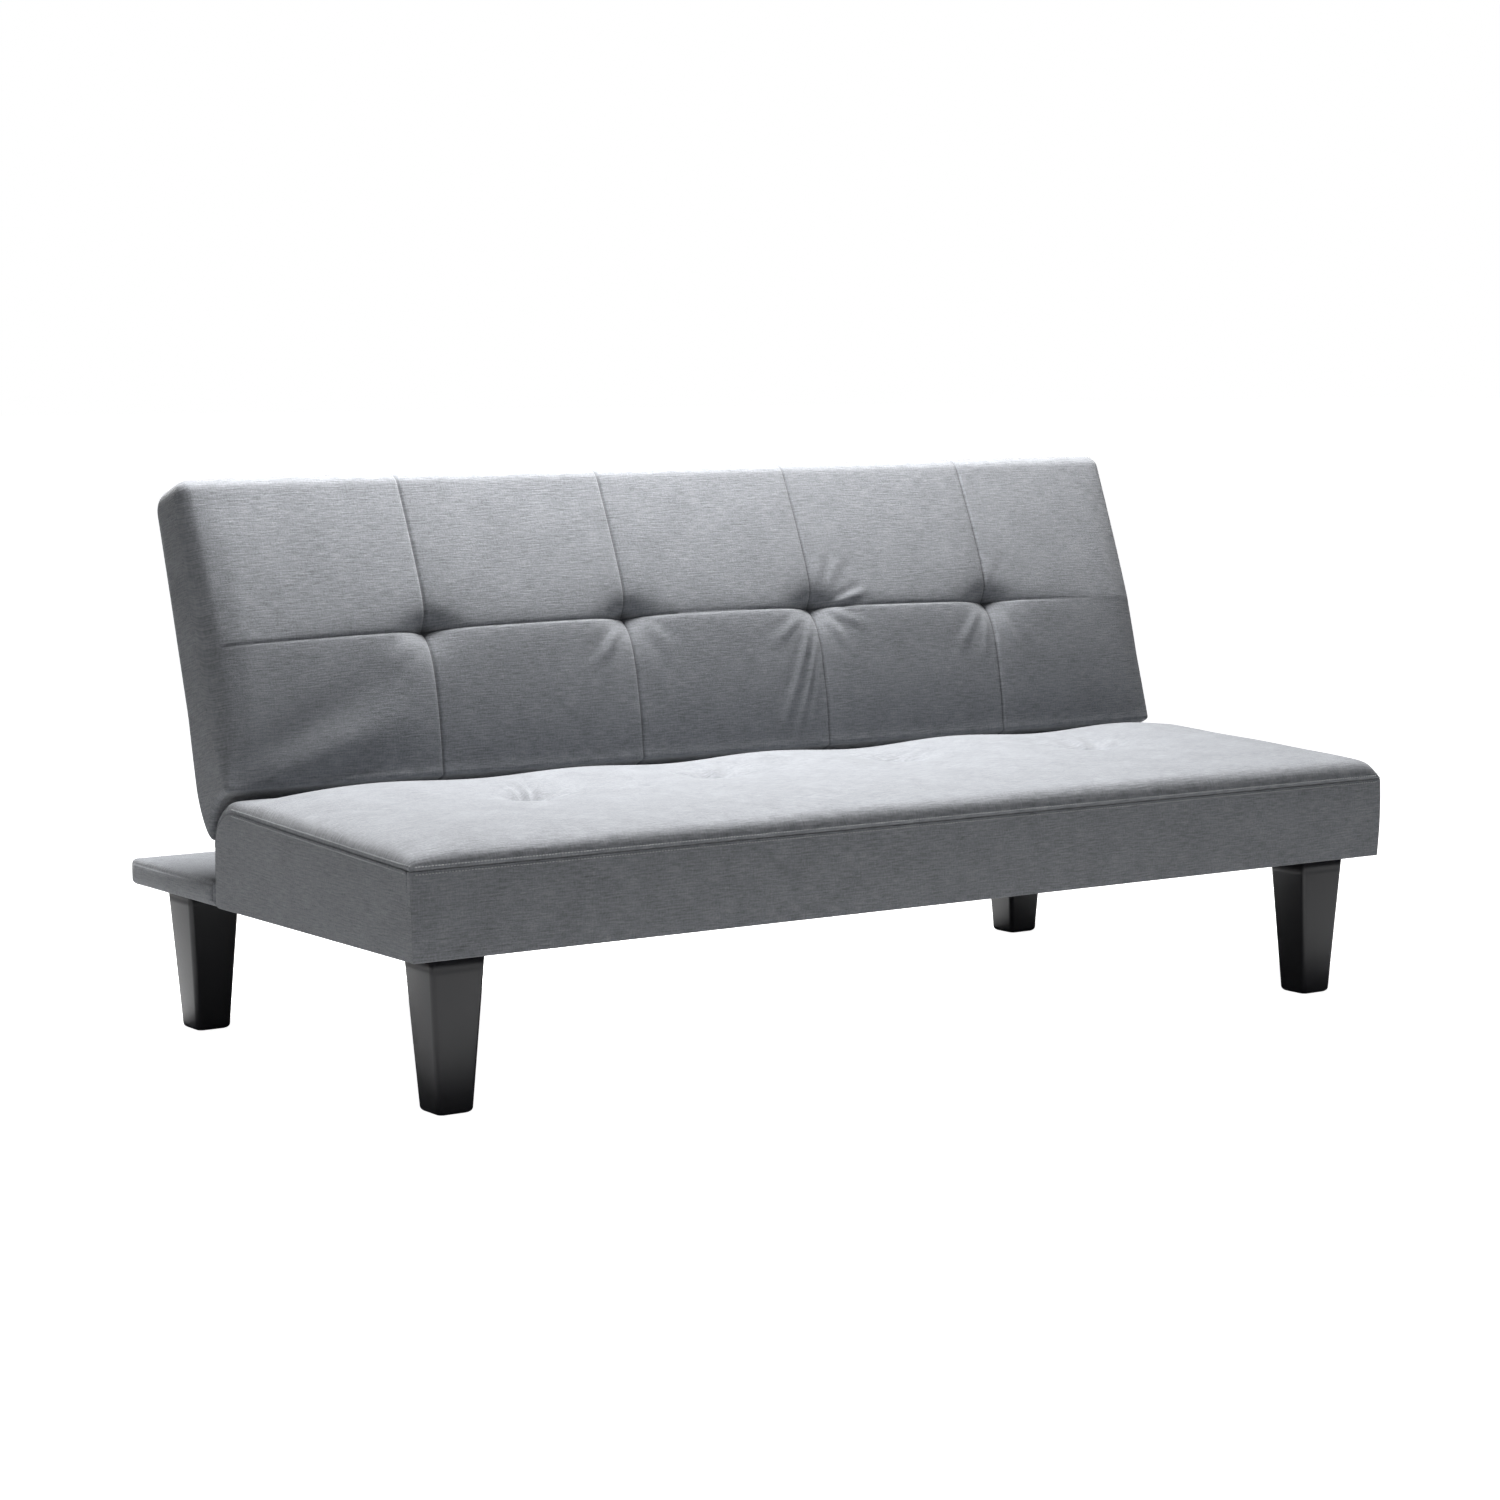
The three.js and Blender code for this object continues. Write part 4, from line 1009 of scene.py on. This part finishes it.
def cloth_material(name, weave, dark, light, sheen):
    """A woven cloth between a dark and a light colour, matt, with painted shade that darkens it in its seams and
    at the tufts.
    """
    material, tree, shader = new_material(name, Roughness=0.92, Sheen_Weight=sheen,
                                          Sheen_Roughness=0.5, Specular_IOR_Level=0.2)
    # Painted shade: the dark colour and the share by which the seam marks darken the cloth in its seams and tuft
    # pockets
    seam_shade_colour, seam_shade_share = (0.12, 0.12, 0.13, 1), 0.72
    cloth = add(tree, "ShaderNodeUVMap", {"uv_map": "cloth"}).outputs["UV"]
    pattern = add(tree, "ShaderNodeGroup", {"node_tree": weave}, Cloth=cloth)
    colour = mixed(tree, pattern.outputs["Shade"], (*dark, 1), (*light, 1))
    # The seam attribute says where shade is painted into the cloth's colour
    sewn = add(tree, "ShaderNodeAttribute", {"attribute_name": "seam"}).outputs["Fac"]
    shadow = calc(tree, "MULTIPLY", calc(tree, "POWER", sewn, 2.0), seam_shade_share)
    shaded = mixed(tree, shadow, colour, seam_shade_colour, "MULTIPLY")
    feed(tree, shader.inputs["Base Color"], shaded)
    roughen(tree, shader, 0.6, 0.0008, pattern.outputs["Height"])
    return material


def wood_material(name, grain, turn, dark, light):
    """Sawn wood with its grain along X, turned to another axis."""
    material, tree, shader = new_material(name, Roughness=0.7)
    place = add(tree, "ShaderNodeTexCoord").outputs["Object"]
    turned = add(tree, "ShaderNodeMapping", Vector=place, Rotation=turn).outputs[0]
    shade = add(tree, "ShaderNodeGroup", {"node_tree": grain}, Place=turned).outputs["Shade"]
    feed(tree, shader.inputs["Base Color"], mixed(tree, shade, (*light, 1), (*dark, 1)))
    roughen(tree, shader, 0.3, 0.0004, shade)
    return material


def smooth_material(name, colour, roughness, spread, scale, metallic=0.0):
    """A moulding or rolled steel: smooth, with roughness and height that vary a little."""
    material, tree, shader = new_material(name, Base_Color=(*colour, 1), Metallic=metallic)
    place = add(tree, "ShaderNodeTexCoord").outputs["Object"]
    grain = speckle(tree, place, scale, 3)
    varied = calc(tree, "ADD", calc(tree, "MULTIPLY", grain, spread), roughness - spread / 2)
    feed(tree, shader.inputs["Roughness"], varied)
    roughen(tree, shader, 0.25, 0.0002, grain)
    return material


def dress_frame(woods, lining, plastic, steel):
    """Gives each CAD piece of the frame and hinges its material."""
    finishes = {"plywood": woods["sheet"], "lining": lining, "leg_plastic": plastic, "steel": steel}
    for part in frame["record"]["subparts"]:
        name = part["node"]
        material = finishes.get(part["material_slot"])
        if part["material_slot"] == "timber":
            runs_back = "bearer" in name or "side_rail" in name
            material = woods["up" if "stile" in name else "back" if runs_back else "across"]
        if material:
            node = frame["nodes"][name]
            node.data.materials.clear()
            node.data.materials.append(material)


# Stitches

def stitch_row(name, path, pitch, material, seed):
    """A row of short threads along a path, each a little different."""
    mesh = bpy.data.meshes.new(name)
    edges = [(i, i + 1) for i in range(len(path) - 1)]
    mesh.from_pydata([tuple(point) for point in path], edges, [])
    piece = shown(name, mesh)
    tree = bpy.data.node_groups.new(name, "GeometryNodeTree")
    tree.interface.new_socket("Geometry", in_out="INPUT", socket_type="NodeSocketGeometry")
    sockets = {}
    for label, kind, value in (("Pitch", "NodeSocketFloat", pitch),
                               ("Thread", "NodeSocketFloat", THREAD),
                               ("Seed", "NodeSocketInt", seed)):
        socket = tree.interface.new_socket(label, in_out="INPUT", socket_type=kind)
        sockets[socket.identifier] = value
    tree.interface.new_socket("Geometry", in_out="OUTPUT", socket_type="NodeSocketGeometry")
    given = tree.nodes.new("NodeGroupInput").outputs
    out = tree.nodes.new("NodeGroupOutput")

    line = add(tree, "GeometryNodeMeshToCurve", Mesh=given["Geometry"])
    spots = add(tree, "GeometryNodeResampleCurve", {"mode": "LENGTH"}, Curve=line.outputs[0],
                Length=given["Pitch"])
    thread = add(tree, "GeometryNodeMeshUVSphere", Segments=6, Rings=5, Radius=given["Thread"])
    half_share, shortest, longest = 0.36, 0.85, 1.1
    half_stitch = calc(tree, "MULTIPLY", given["Pitch"], half_share)
    shape = add(tree, "ShaderNodeCombineXYZ", X=1.0, Y=1.0,
                Z=calc(tree, "DIVIDE", half_stitch, given["Thread"]))
    ahead = tree.nodes.new("GeometryNodeInputTangent")
    turn = add(tree, "FunctionNodeAlignRotationToVector", {"axis": "Z"}, Vector=ahead.outputs[0])
    varied = add(tree, "FunctionNodeRandomValue", {"data_type": "FLOAT"}, Seed=given["Seed"])
    least, most, number = 2, 3, 1
    varied.inputs[least].default_value = shortest
    varied.inputs[most].default_value = longest
    size = add(tree, "ShaderNodeVectorMath", {"operation": "SCALE"}, Scale=varied.outputs[number])
    tree.links.new(shape.outputs[0], size.inputs[0])
    threads = add(tree, "GeometryNodeInstanceOnPoints", Points=spots.outputs[0],
                  Instance=thread.outputs["Mesh"], Rotation=turn.outputs[0], Scale=size.outputs[0])
    real = add(tree, "GeometryNodeRealizeInstances", Geometry=threads.outputs[0])
    coated = add(tree, "GeometryNodeSetMaterial", Geometry=real.outputs[0], Material=material)
    tree.links.new(coated.outputs[0], out.inputs["Geometry"])

    modifier = piece.modifiers.new("stitches", "NODES")
    modifier.node_group = tree
    for identifier, value in sockets.items():
        modifier[identifier] = value
    apply(piece)
    return piece


def laid_on(piece, path, proud):
    """The nearest places on a piece's surface to a path, a little proud of it."""
    points = []
    for point in path:
        _, place, normal, _ = piece.closest_point_on_mesh(tuple(point))
        points.append(np.array(place) + np.array(normal) * proud)
    return points


def seat_stitches(pad, panels, material):
    """Double row of stitches round the seat, one above and one below the seam."""
    step, from_corner, proud = 0.010, 0.006, 0.0003
    y, z, _ = seam_line(lines([from_corner, FLAT_RUN], step))
    xs = lines([-HALF + from_corner, HALF - from_corner], step)
    rows = []
    for row, away in (("upper", STITCH_AWAY), ("lower", -STITCH_AWAY)):
        height = np.full(len(xs), SEAM_FRONT + away)
        paths = {"front": np.stack([xs, np.full(len(xs), FRONT), height], 1)}
        for side, sign in (("left", -1), ("right", 1)):
            paths[side] = np.stack([np.full(len(y), sign * HALF), y, z + away], 1)
        for side, path in paths.items():
            on = pad if row == "upper" else panels[side]
            rows.append((f"{side}_{row}_stitches", laid_on(on, path, proud)))
    for seed, (name, path) in enumerate(rows):
        made = stitch_row(name, path, STITCH_PITCH, material, seed)
        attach(made, "base")


# Camera and light

def aimed(thing, at, across, up, away):
    """Puts a camera or lamp at a place, given the ways to its right, up and behind it."""
    turn = Matrix([[across[i], up[i], away[i]] for i in range(3)]).to_4x4()
    thing.matrix_world = Matrix.Translation(at) @ turn


def set_camera():
    """The photograph's view, fitted to the object's own corners."""
    place = (-2.9566, -4.3068, 0.9689)
    azimuth, tilt, roll = (math.radians(angle) for angle in (34.18, 6.30, -0.28))
    ahead = np.array([math.sin(azimuth) * math.cos(tilt), math.cos(azimuth) * math.cos(tilt),
                      -math.sin(tilt)])
    level = np.array([math.cos(azimuth), -math.sin(azimuth), 0])
    above = np.cross(level, ahead)
    right = level * math.cos(roll) + above * math.sin(roll)
    up = -level * math.sin(roll) + above * math.cos(roll)
    data = bpy.data.cameras.new("view")
    data.sensor_fit = "HORIZONTAL"
    data.sensor_width = 36
    data.lens = 84.33
    camera = shown("view", data)
    aimed(camera, place, right, up, -ahead)
    bpy.context.scene.camera = camera


def lamp(name, at, aim, size, power):
    """A wide soft lamp at one place, aimed at another."""
    data = bpy.data.lights.new(name, "AREA")
    data.shape = "RECTANGLE"
    data.size, data.size_y = size
    data.energy = power
    away = np.array(at, float) - np.array(aim, float)
    away /= np.linalg.norm(away)
    across = np.cross((0, 1, 0) if abs(away[2]) > 0.9 else (0, 0, 1), away)
    across /= np.linalg.norm(across)
    aimed(shown(name, data), at, across, np.cross(away, across), away)


def set_world():
    """Weak light all round, behind a background that looks white to the camera and in gloss."""
    world = bpy.data.worlds.new("studio")
    bpy.context.scene.world = world
    world.use_nodes = True
    tree = world.node_tree
    tree.nodes.remove(tree.nodes["Background"])
    soft = add(tree, "ShaderNodeBackground", Color=(0.80, 0.84, 0.90, 1), Strength=0.075)
    white = add(tree, "ShaderNodeBackground", Color=(1, 1, 1, 1), Strength=1.0)
    path = tree.nodes.new("ShaderNodeLightPath").outputs
    seen = calc(tree, "MAXIMUM", path["Is Camera Ray"], path["Is Transmission Ray"])
    seen = calc(tree, "MAXIMUM", seen, path["Is Glossy Ray"])
    mix = add(tree, "ShaderNodeMixShader", Fac=seen)
    tree.links.new(soft.outputs[0], mix.inputs[1])
    tree.links.new(white.outputs[0], mix.inputs[2])
    tree.links.new(mix.outputs[0], tree.nodes["World Output"].inputs["Surface"])


def set_floor():
    """A wide matt floor that looks white to the camera and keeps the object's shadow."""
    reach, below = 60, -0.001
    mesh = bpy.data.meshes.new("floor")
    corners = [(sx * reach, sy * reach, below) for sx, sy in ((-1, -1), (1, -1), (1, 1), (-1, 1))]
    mesh.from_pydata(corners, [], [(0, 1, 2, 3)])
    floor = shown("floor", mesh)
    pale, tree, shader = new_material("pale_floor", Base_Color=(0.8, 0.8, 0.8, 1), Roughness=0.9,
                                      Specular_IOR_Level=0.0, Emission_Color=(1, 1, 1, 1))
    path = tree.nodes.new("ShaderNodeLightPath").outputs
    glow = calc(tree, "MULTIPLY", path["Is Camera Ray"], FLOOR_GLOW)
    feed(tree, shader.inputs["Emission Strength"], glow)
    mesh.materials.append(pale)


def set_studio():
    """Soft light from overhead, a weak light from the left front, and a white surround."""
    bpy.context.scene.view_settings.view_transform = "Standard"
    set_world()
    set_floor()
    lamp("overhead", (-0.06, 0.40, 2.10), (0.02, 0.15, 0.4), (1.6, 0.8), 134)
    lamp("front_fill", (-1.4, -4.2, 1.5), (0, 0, 0.35), (2.2, 1.6), 4)


# The sofa bed

def build_back(cloth):
    pad = finish_piece(back_pad(), "back", "upholstery", cloth,
                       "back_cushion", "back_top_roll", "back_left_cover", "back_right_cover",
                       "back_roll", "back_roll_left", "back_roll_right")
    panel = finish_piece(back_panel(), "back", "upholstery", cloth, "back_rear_cover")


def build_seat(cloth, thread):
    seat = seat_pad()
    slot_front, slot_top = SEAT_REAR - 0.0226, DECK_TOP + 0.029
    cut(seat, hinge_slots((slot_front, SEAT_REAR + 0.010), (CUT_LOW, slot_top)))
    finish_piece(seat, "base", "upholstery", cloth, "seat_cushion")
    panels = {"front": seat_front(), "left": seat_side("left"), "right": seat_side("right")}
    for side, piece in panels.items():
        finish_piece(piece, "base", "upholstery", cloth, f"seat_{side}_cover")
    seat_stitches(seat, panels, thread)
    for end in ("", "_left", "_right"):
        rear = cover_over(f"seat_rear_panel{end}", f"seat_rear_cover{end}", 0.003, 0.010)
        finish_piece(rear, "base", "upholstery", cloth, f"seat_rear_cover{end}")


def build_shelf(cloth):
    shelf = shelf_pad()
    slot_rear = SEAT_REAR + 0.050
    cut(shelf, hinge_slots((SEAT_REAR - 0.010, slot_rear), (CUT_LOW, CUT_HIGH)))
    finish_piece(shelf, "base", "upholstery", cloth, "shelf_top_cover", "shelf_left_cover",
                 "shelf_right_cover", "shelf_rear_cover")


def build_underside(lining, plastic):
    under = cover_over("underside_cover", "dust_cover", 0.0003, 0.04)
    legs = [f"{row}_{side}_leg" for row in ("front", "rear") for side in ("left", "right")]
    bolts = [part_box(f"{node}_bolt") for node in legs]
    cut(under, [((low.x - GAP, low.y - GAP, CUT_LOW), (high.x + GAP, high.y + GAP, CUT_HIGH))
                for low, high in bolts])
    finish_piece(under, "base", "lining", lining, "dust_cover")
    for node in legs:
        finish_piece(leg(f"{node}_moulding", node), "base", "leg_plastic", plastic, node)


def build():
    weave, grain = woven(), grained()
    cloth = cloth_material("grey_cloth", weave, (0.100, 0.1045, 0.1135), (0.333, 0.344, 0.365), 0.3)
    thread = cloth_material("grey_thread", weave, (0.34, 0.35, 0.36), (0.52, 0.53, 0.545), 0.2)
    lining = cloth_material("black_lining", weave, (0.012, 0.012, 0.013), (0.04, 0.04, 0.042), 0.1)
    plastic = smooth_material("black_plastic", (0.018, 0.018, 0.021), 0.31, 0.12, (260, 260, 260))
    steel = smooth_material("zinc_steel", (0.50, 0.51, 0.53), 0.38, 0.2, (900, 60, 60), 1.0)
    pine = ((0.42, 0.27, 0.14), (0.68, 0.50, 0.30))
    plywood = ((0.50, 0.35, 0.19), (0.74, 0.57, 0.36))
    across, back, up = (0, 0, 0), (0, 0, math.radians(90)), (0, math.radians(90), 0)
    woods = {
        "across": wood_material("pine_across", grain, across, *pine),
        "back": wood_material("pine_deep", grain, back, *pine),
        "up": wood_material("pine_upright", grain, up, *pine),
        "sheet": wood_material("plywood", grain, across, *plywood),
    }
    dress_frame(woods, lining, plastic, steel)
    build_back(cloth)
    build_seat(cloth, thread)
    build_shelf(cloth)
    build_underside(lining, plastic)


set_camera()
build()
set_studio()
